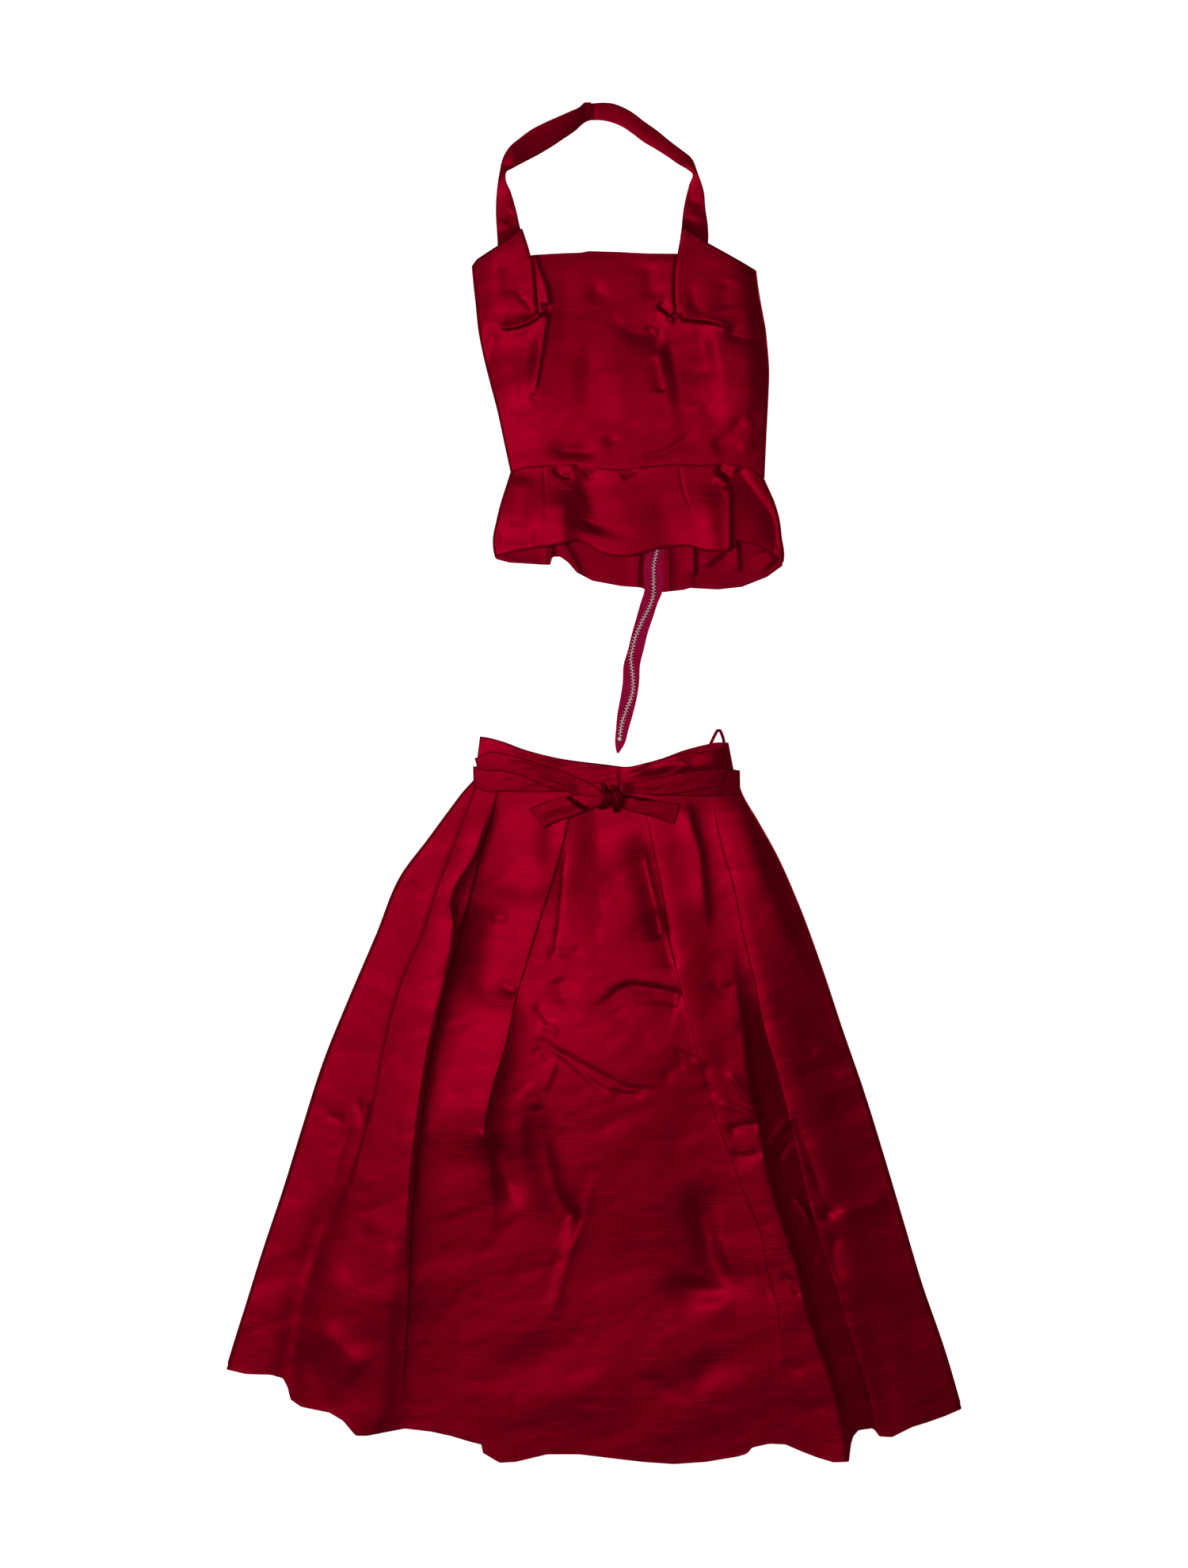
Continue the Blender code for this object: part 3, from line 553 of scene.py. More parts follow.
VALLEY_CRUMPLES = [
    ((2.2, 4, 5), 264,-440, 246,-458, 228,-480),
    ((-1.8, 4, 4), 262,-470, 250,-488, 240,-505),
    ((2, 5, 4), 262,-545, 276,-562, 292,-590),
    ((-1.6, 5, 5), 256,-612, 276,-622, 300,-632),
]


def skirt_relief(x, y):
    """Folds and wrinkles of the skirt front that aren't tucked pleats."""
    z = folds(x, y, SKIRT_FOLDS) + mounds(x, y, SKIRT_MOUNDS)
    # the raised ribbon of cloth between the right pleats
    z += fold(x, y, [(px - 5, py) for px, py in VALLEY_EDGE], 4.5, 30, 7, 0.25, 0.0)
    for index in range(9):
        px, py = -62 + 11 * index, -704 - 6 * ((index * 5) % 4)
        z += fold(x, y, [(px, py), (px + 9, py - 14 + 9 * (index % 3))], -0.55, 2.4, 2.8)
    return z


def valley(x, y):
    """How far the cloth between that ribbon and the right pleat falls, and the share of the way across it."""
    past_edge = beside(VALLEY_EDGE, x, y)[0]
    before_pleat = -beside(PLEAT_E, x, y)[0]
    share = np.clip(past_edge / np.maximum(past_edge + before_pleat, 1.0), 0.0, 1.0)
    inside = (past_edge > 0) & (before_pleat > -16.0) & (y < -180)
    return np.where(inside, smooth((-y - 200.0) / 200.0), 0.0), share


def skirt_grid():
    """The whole skirt front as one grid, with the column where each pleat is tucked deepest."""
    rows = count(SKIRT_ROWS)
    lines = [curve(line, rows) for line in (SKIRT_LEFT, *[p[0] for p in PLEATS], SKIRT_RIGHT)]
    widths = [np.linalg.norm(b - a, axis=1) for a, b in zip(lines, lines[1:])]
    zones = [np.minimum(ZONE_HALF, 0.28 * np.minimum(a, b)) for a, b in zip(widths, widths[1:])]
    last_panel = len(PANEL_COLUMNS) - 1
    columns, lift, starts = [], [], []
    for k, full in enumerate(PANEL_COLUMNS):
        left, right = lines[k], lines[k + 1]
        across = (right - left) / widths[k][:, None]
        a = left + (across * zones[k - 1][:, None] if k else 0.0)
        b = right - (across * zones[k][:, None] if k < last_panel else 0.0)
        for share in np.linspace(0.0, 1.0, count(full))[(1 if k else 0):(-1 if k < last_panel else None)]:
            columns.append(a * (1 - share) + b * share)
            lift.append(None)
        if k == last_panel:
            break
        _, top_side, _, _, heights = PLEATS[k]
        y, steps, depths, _ = np.array(heights, float)[::-1].T
        step = np.interp(right[:, 1], y, steps)
        depth = np.interp(right[:, 1], y, depths)
        closed = smooth(step / 2.6)
        along = lines[k + 2] - lines[k]
        along = along / np.linalg.norm(along, axis=1)[:, None]
        starts.append(len(columns))
        for i in range(ZONE)[::top_side]:
            tucked = TUCK_ZONE[i] * zones[k] + TUCK_ROUND[i] * EDGE_ROUND + TUCK_DEPTH[i] * depth
            opened = zones[k] * (2.0 * i / (ZONE - 1) - 1.0)
            offset = (tucked * closed + opened * (1 - closed)) * top_side
            open_share = 1.0 - smooth(i / (ZONE - 1))
            columns.append(right + along * offset[:, None])
            lift.append(step * (TUCK_SHARES[i] * closed + open_share * (1 - closed)))
    plan = np.stack(columns, axis=1)
    to_line(plan, -1, HEM, 0.2)
    x, y = plan.transpose(2, 0, 1)
    spread = smooth(-y / 500.0)
    reaches = (30.0 + 90.0 * spread, 32.0 + 60.0 * spread)
    z = side_roll(x, lines[0][:, :1], lines[-1][:, :1], 4.5 + 3.2 * spread, reaches)
    column = np.arange(x.shape[1])
    for k, (_, top_side, reach, under_reach, heights) in enumerate(PLEATS):
        levels, steps, _, unders = np.array(heights, float)[::-1].T
        edge = lines[k + 1]
        step = np.interp(edge[:, 1], levels, steps)[:, None]
        under = np.interp(edge[:, 1], levels, unders)[:, None]
        first, last = starts[k], starts[k] + ZONE
        away = np.abs(x - edge[:, :1]) - zones[k][:, None]
        on_top = column < first if top_side > 0 else column >= last
        z += np.where(on_top, step * np.exp(-((np.maximum(away, 0.0) / reach) ** 2)), 0.0)
        z[:, first:last] += np.stack(lift[first:last], axis=1)
        beyond = top_side * (x - edge[:, :1])
        lower = column >= first + TUCK if top_side > 0 else column < last - TUCK
        z += under * np.where(lower, np.exp(-np.maximum(beyond, 0.0) / under_reach),
                              np.exp(-((np.maximum(-beyond, 0.0) / reach) ** 2)))
    z += skirt_relief(x, y)
    deep, share = valley(x, y)
    deep[:, starts[-1] + ZONE - TUCK:] = 0.0     # the right pleat's upper layer stays above the valley
    z = z * (1.0 - deep) + deep * (z * (1.0 - share) + 1.4 * share) + folds(x, y, VALLEY_CRUMPLES)
    calm = smooth(-y / 120.0)
    z += calm * (0.8 * waves(x, y, (150, 46), 3) + 0.7 * np.abs(waves(x, y, (90, 50), 5)))
    z += calm * (0.32 * np.abs(waves(x, y, (42, 26), 9)) + 0.16 * waves(x, y, (18, 12), 8))
    tucks = [s + (TUCK if p[1] > 0 else ZONE - 1 - TUCK) for s, p in zip(starts, PLEATS)]
    return np.dstack([x, y, np.maximum(z, 1.0)]), tucks


def make_skirt_front():
    grid, tucks = skirt_grid()
    ground.add(grid)
    cuts = [0, *tucks, grid.shape[1] - 1]
    panels = (
        ("side_left", 0.16, 0.86, 0.075), ("pleat_left", 0.23, 0.87, 0.10), ("front_left", 0.2, 0.90, 0.125),
        ("front_center", 0.42, 0.91, 0.24), ("front_right", 0.2, 0.91, 0.12), ("side_right", 0.18, 0.88, 0.10),
    )
    for (name, width, length, area), first, last in zip(panels, cuts, cuts[1:]):
        lay("skirt_" + name, grid, "skirt", (width, length), ["skirt_back_left"], area,
            columns=slice(first, last + 1), seamed=True)


def make_skirt_back():
    """Two back panels under the front, parted by the zip."""
    slot = path(10,6, 10,-200, 14.7,-215, 14.7,-500, 14.7,-886)
    mirrored = [(30 - px, py) for px, py in slot]
    left = [(px + 1.2, py) for px, py in SKIRT_LEFT]
    right = [(px - 1.2, py) for px, py in SKIRT_RIGHT]
    for name, a, b in (("skirt_back_left", left, slot), ("skirt_back_right", mirrored, right)):
        plan = between(a, b, count(120), count(40))
        to_line(plan, -1, [(px, py + 8.0) for px, py in HEM], 0.2)
        x, y = plan.transpose(2, 0, 1)
        lay(name, np.dstack([x, y, 0.75 + 0.12 * waves(x, y, (70, 40), 21)]), "skirt", (0.52, 0.90), area=0.30)


# ---------------------------------------------------------------- heights of what lies below

class Ground:
    """The highest cloth laid so far at each place of the table, on square cells."""

    CELL = 4.0

    def __init__(self):
        self.top = np.zeros((270, 480))

    def cells(self, x, y):
        return x / self.CELL + 135.0, y / self.CELL + 240.0

    def add(self, grid):
        i, j = self.cells(grid[..., 0].ravel(), grid[..., 1].ravel())
        np.maximum.at(self.top, (i.round().astype(int), j.round().astype(int)), grid[..., 2].ravel())

    def over(self, x, y):
        """Height just above whatever lies at a place or beside it."""
        wide = self.top
        for shift in [(di, dj) for di in (-1, 0, 1) for dj in (-1, 0, 1)]:
            wide = np.maximum(wide, np.roll(self.top, shift, (0, 1)))
        i, j = self.cells(x, y)
        i0, j0 = np.floor(i).astype(int), np.floor(j).astype(int)
        fi, fj = i - i0, j - j0
        near = wide[i0, j0] * (1 - fj) + wide[i0, j0 + 1] * fj
        far = wide[i0 + 1, j0] * (1 - fj) + wide[i0 + 1, j0 + 1] * fj
        return near * (1 - fi) + far * fi


def softened(z, times):
    """Heights averaged with their neighbours' a few times."""
    for _ in range(times):
        padded = np.pad(z, 1, mode="edge")
        z = (padded[:-2, 1:-1] + padded[2:, 1:-1] + padded[1:-1, :-2] + padded[1:-1, 2:] + 2.0 * z) / 6.0
    return z


def at_height(line, y):
    """Where a side line is across at each height."""
    places = curve(line, 60)
    return np.interp(-y, -places[:, 1], places[:, 0])


# ---------------------------------------------------------------- top

TOP_LEFT = path(-162,684, -160,662, -157,635, -153,597, -149,576, -139,534, -128,492, -119,450, -111,413)
TOP_RIGHT = path(215,678, 217,660, 221,635, 228,597, 230,576, 232,545, 231,513, 229,471, 228,450, 226,404)
BUST_LEFT_EDGE = path(
    -95,733, -88,712, -84,698, -79,663, -76,634, -72,618, -64,607, -63,592, -66,572, -71,550, -76,530, -79,512,
    -76,470, -67,420,
)
BUST_RIGHT_EDGE = path(
    117,736, 113,715, 110,698, 107,668, 107,640, 107,622, 96,612, 86,600, 85,590, 81,578, 85,560, 92,538, 92,520,
    96,500, 108,460, 117,422,
)
CENTRE_LEFT = path(-100,698, -96,670, -92,640, -84,618) + BUST_LEFT_EDGE[6:]
CENTRE_RIGHT = path(124,700, 122,670, 120,640, 108,620) + BUST_RIGHT_EDGE[7:]
NECKLINE = path(-100,696, -80,698, -52,700, -17,701.5, -7,703.5, 31,702.5, 68,700.5, 109,700, 124,700)
WAIST_SEAM = path(
    -111,413, -90,418.5, -58,421, -23,422, -2,418, 30,415, 52,416, 76,420, 105,422, 143,421, 183,422.5, 207,419,
    226,404,
)
BACK_ZIP = path(30,655, 40,578, 50,500, 61,422, 74,350, 83,307, 79,288, 79,274, 79.3,262)
TOP_FOLDS = [
    # left bust: the pocket under the flap, the dart below it, soft hollows towards the side
    ((-3, 9, 2.8, 0.05, 0.3), -61,632, -70,621, -78,614, -90,607.5, -108,602.5, -124,603, -130,611),
    ((1.2, 3, 9), -60,622, -76,611, -92,603, -112,597),
    ((-4.4, 40, 16), -152,588, -112,578, -70,572),
    ((-1, 5, 3), -92,643, -86,630, -79,622),
    ((-0.8, 4, 4), -100,650, -92,634),
    ((-1.2, 12, 14), -126,690, -112,668, -108,640),
    ((1.7, 16, 2.6, 0.05, 0.2), -61,622, -65.5,590, -70,561, -75,536, -80,512),
    ((-0.8, 16, 14), -100,500, -96,460, -92,424),
    # strip between the left flap and the centre
    ((2.2, 10, 3, 0.1, 0.05), -80,700, -70,673, -62,651, -59,632),
    # centre
    ((-1, 18, 16), -48,680, -40,650, -44,610),
    ((-1.4, 9, 12, 0.5, 0.5), 14,664, 4,652, -2,630),
    ((-1.5, 11, 20, 0.5, 0.5), 2,610, -6,570, -9,520, -9,472),
    ((-0.9, 12, 12, 0.5, 0.5), -44,628, -36,600, -26,590),
    ((-3.4, 14, 9, 0.45, 0.15), 16,620, 32,606, 51,597, 70,595, 84,605),
    ((-1.2, 10, 10), 72,690, 76,655, 80,636),
    ((1, 24, 26), 20,560, 34,520, 30,470),
    ((-3, 8, 9, 0.4, 0.4), -64,449, -45,441, -19,439, 10,434),
    ((-1.2, 7, 5, 0.5, 0.5), 8,452, 22,455, 36,455),
    # right bust: the nook beside the flap, the ridge running to the side, the tongue of cloth and the hollow below it
    ((-2.6, 3, 6, 0.1, 0.1), 85,634, 92,627, 99,621, 112,613),
    ((1.4, 7, 3), 86,630, 94,620, 110,610),
    ((3.4, 3, 12, 0.1), 112,616, 134,612, 154,610, 173,604, 184,596),
    ((-2.8, 9, 7, 0.3, 0), 170,601, 184,593, 200,589, 224,588),
    ((-1.4, 12, 6, 0.2, 0.2), 84,622, 83,608, 81,592, 83,577, 88,566),
    ((-5.4, 40, 15, 0.25, 0.3), 84,566, 120,573, 164,582),
    ((-1.4, 10, 13, 0.3, 0.1), 78,566, 83,548, 87,532, 91,518),
    ((-1.2, 12, 10), 178,668, 172,640, 176,622),
    ((-0.9, 8, 8), 128,660, 134,630, 150,620),
    ((-0.9, 14, 12), 141,557, 138,520, 134,494),
    ((-1.3, 14, 3.5, 0.3, 0.3), 58,432, 96,441, 122,459, 135,473),
    ((-1.6, 14, 7), 152,444, 168,453, 183,465, 199,488),
    ((-0.8, 9, 12), 140,500, 156,484, 164,470),
    ((0.9, 8, 8), 190,440, 208,452, 224,470),
    ((-1, 8, 10), 206,500, 216,470, 214,440),
    # the cloth stands a little higher beside both side folds than across the middle
    ((6.5, 26, 90, 0.1), -128,820, -126,700, -118,600, -100,520, -86,440),
    ((6, 90, 24, 0.1), 186,820, 190,700, 198,600, 200,520, 198,440),
]
TOP_MOUNDS = [
    (-80, 510, 6, 4, -1.1, 0),
    (38, 602, 13, 16, 1.3, 0),
    (90, 520, 6, 4, -1, 0),
]


def top_relief(x, y):
    """Folds and wrinkles of the front of the bodice."""
    z = folds(x, y, TOP_FOLDS) + mounds(x, y, TOP_MOUNDS)
    z += 0.5 * waves(x, y, (70, 40), 31) + 0.22 * waves(x, y, (26, 16), 33)
    # the waist seam draws the cloth in
    return z - 0.4 * np.exp(-(((y - level(WAIST_SEAM, x)) / 1.3) ** 2))


def top_height(x, left, right):
    return 0.8 + side_roll(x, left, right, 3.4, (20.0, 20.0)) * 0.95


def bodice_height(x, y):
    return top_height(x, at_height(TOP_LEFT, y), at_height(TOP_RIGHT, y))


def make_bodice():
    rows = count(150)
    bust = [
        ("bodice_front_left", TOP_LEFT, BUST_LEFT_EDGE, 46, -1, path(-162,684, -155,693, -126,711, -95,733),
         (0.12, 0.32), 0.022),
        ("bodice_front_right", BUST_RIGHT_EDGE, TOP_RIGHT, 62, 0, path(117,736, 150,714, 215,678),
         (0.15, 0.33), 0.041),
    ]
    centre = between(CENTRE_LEFT, CENTRE_RIGHT, rows, count(90))
    to_line(centre, 0, NECKLINE, 0.2)
    to_line(centre, -1, WAIST_SEAM, 0.2)
    x, y = centre.transpose(2, 0, 1)
    under = smooth((y - 604.0) / 22.0)
    flap = np.maximum(smooth((at_height(BUST_LEFT_EDGE, y) + 4.0 - x) / 8.0),
                      smooth((x - at_height(BUST_RIGHT_EDGE, y) + 4.0) / 8.0))
    z = bodice_height(x, y) + top_relief(x, y) - 3.0 * under * flap - 0.3 * smooth((y - 690.0) / 12.0)
    grid = np.dstack([x, y, np.maximum(z, 2.4)])
    ground.add(grid)
    lay("bodice_front_center", grid, "top", (0.22, 0.29), ["bodice_back_left"], 0.056, seamed=True)
    for name, left, right, cols, edge, brim, flat, area in bust:
        plan = between(left, right, rows, count(cols))
        to_line(plan, 0, brim, 0.06)
        to_line(plan, -1, WAIST_SEAM, 0.2)
        x, y = plan.transpose(2, 0, 1)
        inner = plan[:, edge, 0][:, None]
        free = smooth((y - 606.0) / 22.0)
        near = np.exp(-np.abs(x - inner) / 26.0)
        z = bodice_height(x, np.minimum(y, 700.0)) + top_relief(x, y) + free * (1.6 + 2.6 * near)
        z -= 1.1 * free * np.exp(-np.abs(x - inner) / 1.6)
        below = level(brim, x) - y
        z -= 0.9 * np.exp(-np.maximum(below, 0.0) / 2.2) + 0.2 * np.exp(-(((below - 7.0) / 1.6) ** 2))
        grid = np.dstack([x, y, np.maximum(z, 1.6)])
        ground.add(grid)
        lay(name, grid, "neck_strap", flat, ["bodice_back_left"], area, seamed=True)
    facing = between(path(-92,694, -86,672, -80,657), path(116,694, 114,672, 112,657), count(16), count(60))
    x, y = facing.transpose(2, 0, 1)
    lay("neck_facing", np.dstack([x, y, 4.2 + 0.3 * waves(x, y, (40, 20), 41)]), "top", (0.20, 0.038),
        ["cloth_bodice_front_center"], material=LINING, slot="facing_satin")
    for name, plan in back_panels(TOP_LEFT[1:], TOP_RIGHT[1:], (664, 600, 540, 480, 421), 6.5, 2.0, (60, 36)):
        x, y = plan.transpose(2, 0, 1)
        lay("bodice_back_" + name, np.dstack([x, y, 0.8 + 0.1 * waves(x, y, (60, 40), 43)]), "top", (0.20, 0.26))


def back_panels(left, right, heights, gap, inset, size):
    """The plans of the left and right back panels, a gap away from the zip and set in from the front's side lines."""
    zip_line = curve(BACK_ZIP, 80)
    for name, side, line in (("left", -1, left), ("right", 1, right)):
        slot = [(float(np.interp(-y, -zip_line[:, 1], zip_line[:, 0])) + side * gap, y) for y in heights]
        outer = [(px - side * inset, py) for px, py in line]
        yield name, between(*(outer, slot)[::-side], *map(count, size))


PEPLUM_LEFT = path(-110,412, -116,394, -124,370, -130,345, -134,324, -133,306, -131,298)
PEPLUM_RIGHT = path(224,405, 230,392, 240,370, 246,348, 249,324, 252,300, 251,290)
PEPLUM_HEM = path(
    -131,298, -125,301, -98,308, -71,312, -45,315, -31,319, -18,320, -7,315, 9,304, 30,299.5, 52,300, 76,307, 97,312,
    116,313.5, 132,312, 143,307.5, 164,305.5, 180,307, 186,312, 190,319, 197,319, 223,313, 240,302, 252,291,
)
PEPLUM_SEAM_LEFT = path(-67,421, -65,380, -66,345, -70,312)
PEPLUM_SEAM_RIGHT = path(112,422, 119,386, 132,351, 134,311)
PEPLUM_BACK_HEM = path(
    -131,297, -112,292, -71,289.5, -58,289, -55,300, -45,300, -34,292, -23,279, -2,268, 36,261, 63,259, 70,255,
    92,253, 119,256, 127,258.5, 164,256.5, 196,260, 229,273, 252,289.5,
)
PEPLUM_FOLDS = [
    ((-0.35, 1.6, 1.6, 0.1, 0.3), -67,419, -65,380, -66,350, -76,330),
    ((-0.35, 1.6, 1.6, 0.1, 0.4), 112,420, 119,386, 132,351),
    ((-0.35, 1.6, 1.6, 0.1, 0.4), 159,420, 167,386, 180,359),
    ((-2.2, 4, 8), -56,419, -48,411, -36,405, -26,408),
    # flutes that spread down to the hem
    ((3.6, 20, 12, 0.4, 0), -44,395, -42,360, -40,312),
    ((-4, 14, 22, 0.3, 0.2), -24,420, -8,384, -2,360, -10,328),
    ((1, 32, 30, 0.3, 0), 30,400, 34,350, 36,300),
    ((-1.4, 18, 18, 0.3, 0), 86,390, 92,350, 100,312),
    ((-1.7, 14, 12), -136,325, -104,327, -72,322),
    ((1.8, 16, 16), -96,410, -100,370, -104,335),
    ((2.6, 14, 14, 0.4, 0), 148,400, 154,350, 160,306),
    ((-2.6, 5, 7, 0.15, 0.3), 163,419, 172,411, 183,404),
    ((1.8, 6, 4), 158,408, 168,402, 180,396),
    # a pressed edge, then the slope down to the right side
    ((2.4, 14, 3, 0.15, 0), 180,398, 180,360, 180,312),
    ((-2.2, 22, 7, 0.05, 0), 189,417, 214,382, 236,350, 241,315),
    ((-1.6, 6, 6), -30,421, -12,414, 0,400),
    ((-1.4, 4, 6), 36,402, 48,410, 60,415),
]
PEPLUM_BACK_FOLDS = [
    ((2.4, 5, 2.4, 0, 0), 60,312, 59,290, 58,258),
    ((2, 4, 6, 0, 0), 96,312, 98,290, 98,254),
    ((3, 12, 2.4, 0, 0.2), 132,314, 133,296, 132,272),
    ((-2, 7, 7), 182,306, 165,292, 146,276, 130,260),
    ((2.6, 8, 8), 176,316, 160,300, 142,284),
    ((2.6, 14, 2.6, 0, 0.3), 190,316, 191,300, 192,278),
    ((2.6, 12, 10), 226,312, 232,300, 240,290),
    ((3.4, 5, 3, 0, 0), -57,312, -57,300, -58,288),
    ((2.4, 6, 5, 0, 0), -40,316, -30,300, -20,280),
    ((1.2, 4, 6), -130,297, -100,293, -64,290),
]


def peplum_relief(x, y):
    """Flutes and wrinkles of the front of the peplum."""
    z = 3.0 * smooth((418.0 - y) / 90.0) + folds(x, y, PEPLUM_FOLDS) + 0.35 * waves(x, y, (60, 36), 51)
    for px, py in path(-34,392, -26,382, -20,371, -14,360, -8,350, -12,340):
        z += fold(x, y, [(px - 10, py + 4), (px + 4, py - 1), (px + 16, py - 7)], 0.4, 2.6, 2.4)
    above = y - level(WAIST_SEAM, x)
    return z - 0.4 * np.exp(-((above / 1.3) ** 2)) - 0.5 * smooth((above - 0.2) / 0.5)


def make_peplum():
    panels = (
        ("left", PEPLUM_LEFT, PEPLUM_SEAM_LEFT, 34, (0.065, 0.115), 0.0065),
        ("center", PEPLUM_SEAM_LEFT, PEPLUM_SEAM_RIGHT, 88, (0.20, 0.12), 0.0215),
        ("right", PEPLUM_SEAM_RIGHT, PEPLUM_RIGHT, 62, (0.125, 0.13), 0.0145),
    )
    for name, left, right, cols, flat, area in panels:
        plan = between(left, right, count(64), count(cols))
        to_line(plan, 0, [(px, py + 1.2) for px, py in WAIST_SEAM], 0.4)
        to_line(plan, -1, PEPLUM_HEM, 0.4)
        x, y = plan.transpose(2, 0, 1)
        z = top_height(x, at_height(PEPLUM_LEFT, y), at_height(PEPLUM_RIGHT, y)) + peplum_relief(x, y)
        z -= 1.2 * np.exp(-np.maximum(y - level(PEPLUM_HEM, x), 0.0) / 1.8)
        grid = np.dstack([x, y, np.maximum(z, 1.6)])
        ground.add(grid)
        lay("peplum_front_" + name, grid, "top", flat, ["peplum_back_left"], area, seamed=True)
    heights = (420, 380, 340, 307, 285, 262)
    for name, plan in back_panels(PEPLUM_LEFT, PEPLUM_RIGHT, heights, 7.5, 1.5, (64, 80)):
        to_line(plan, -1, PEPLUM_BACK_HEM, 0.5)
        x, y = plan.transpose(2, 0, 1)
        z = 1.3 + 0.4 * waves(x, y, (40, 24), 57) + folds(x, y, PEPLUM_BACK_FOLDS)
        lay("peplum_back_" + name, np.dstack([x, y, np.maximum(z, 0.8)]), "top", (0.20, 0.15), area=0.024,
            material=LINING)


# ---------------------------------------------------------------- straps

STRAP_LEFT_OUTER = path(
    -127,700, -128,720, -130,761, -128.6,785, -125.5,806, -120,828, -112,840, -98,852, -84,862.5, -64,873, -46,881,
    -30,888, -19,893, -12,899, -4,899,
)
STRAP_LEFT_INNER = path(
    -92,716, -97,732, -103,758, -110,782, -117,800, -116,808, -108,813, -92,822, -75,831, -58,841, -40,853, -24,864,
    -14,873, -9,876, -3,877.5,
)
STRAP_RIGHT_OUTER = path(
    149,704, 151,716, 151,735, 147.5,761, 145.4,783, 138,805, 128,828, 117,837, 100,850, 83,864, 66,876, 50,888,
    37,895, 24,899.5, 12,900.4, -5,899.3,
)
STRAP_RIGHT_INNER = path(
    114,722, 116,736, 117,748, 120,768, 126,792, 130,806, 124,811, 111,819, 97,829, 83,838, 66,848, 50,860, 38,868,
    24,874, 10,877, -5,877.3,
)


def make_strap(name, outer, inner, side):
    """Half of the neck strap: it leaves the bust lying flat, turns on edge and lies flat again to the nape."""
    rows, cols = count(150), count(16)
    x, y = between(outer, inner, rows, cols).transpose(2, 0, 1)
    along, across = shares(rows, cols)
    turn = np.exp(-(((along - 0.40) / 0.10) ** 2))
    flat_again = smooth((along - 0.44) / 0.1)
    z = 4.5 + 5.5 * smooth(1.0 - along / 0.12)
    if side < 0:
        z += turn * (1.0 - across) * 3.0 + turn * across * 6.0 * smooth((along - 0.2) / 0.2)
        z += 10.5 * flat_again * (1.0 - across)
        z += folds(x, y, [((-0.7, 6, 6), -122, 742, -108, 758), ((0.6, 6, 6), -127, 735, -112, 742)])
    else:
        z += turn * (across * 4.0 + (1.0 - across) * 4.6) + 1.4 * flat_again
        z += folds(x, y, [((-0.7, 6, 6), 122, 772, 146, 766), ((0.6, 6, 6), 124, 752, 148, 748)])
        # the seam at the nape
        z += 0.7 * np.exp(-(((x + 2.5) / 1.0) ** 2)) - 0.6 * np.exp(-(((x - 0.5) / 1.0) ** 2))
    z += 0.3 * waves(along * 300.0, across * 24.0, (38, 14), 61 + side) + 0.4 * np.sin(math.pi * across)
    grid = np.dstack([x, y, np.maximum(z, 1.4)])
    ground.add(grid)
    lay(name, grid, "neck_strap", (0.025, 0.30), ["neck_facing"], 0.0068, thickness=RIBBON, lengthwise=True)


# ---------------------------------------------------------------- waistband, sash and loops

BAND_TOP_FRONT = path(
    -151,62, -143,61, -120,55, -93,45, -64,37, -34,31, -19,29, 15,25, 45,22, 70,27, 96,33, 112,38, 147,42, 162,45,
    172,50, 178,53,
)
BAND_TOP_BACK_RIGHT = path(22,24, 45,22, 68,27, 90,33, 117,43, 147,51, 162,54, 178,54)
BAND_TOP_BACK_LEFT = path(-150,60, -120,54, -93,44, -34,30, 14,23)


def waist_height(x):
    return side_roll(x, -161.0, 194.0)


def strand(name, bottom, top, height, seed, flat, rest, area=None, creases=(), rough=0.16, rows=90, gap=None,
           body="skirt", material=SASH, slot="sash_satin"):
    """A ribbon lying along a route, creased lengthwise, and where gap is given never lower than what it lies on."""
    n, m = count(rows), count(22)
    plan = between(bottom, top, n, m)
    x, y = plan.transpose(2, 0, 1)
    along, across = shares(n, m)
    z = height(x, y, along, across)
    if gap is not None:
        z = softened(np.maximum(z, ground.over(x, y) + gap), 5)
    length = np.linalg.norm(np.diff(plan[:, m // 2], axis=0), axis=1).sum()
    width = np.linalg.norm(plan[:, -1] - plan[:, 0], axis=1).mean()
    z += rough * waves(along * length, across * width, (60, 5.5), seed)
    z += 0.5 * rough * waves(along * length, across * width, (24, 3), seed + 1)
    z -= 0.3 * (np.exp(-across * width / 1.2) + np.exp(-(1 - across) * width / 1.2))
    grid = np.dstack([x, y, z + folds(x, y, creases)])
    ground.add(grid)
    lay(name, grid, body, flat, rest, area, material, slot, RIBBON, lengthwise=True)


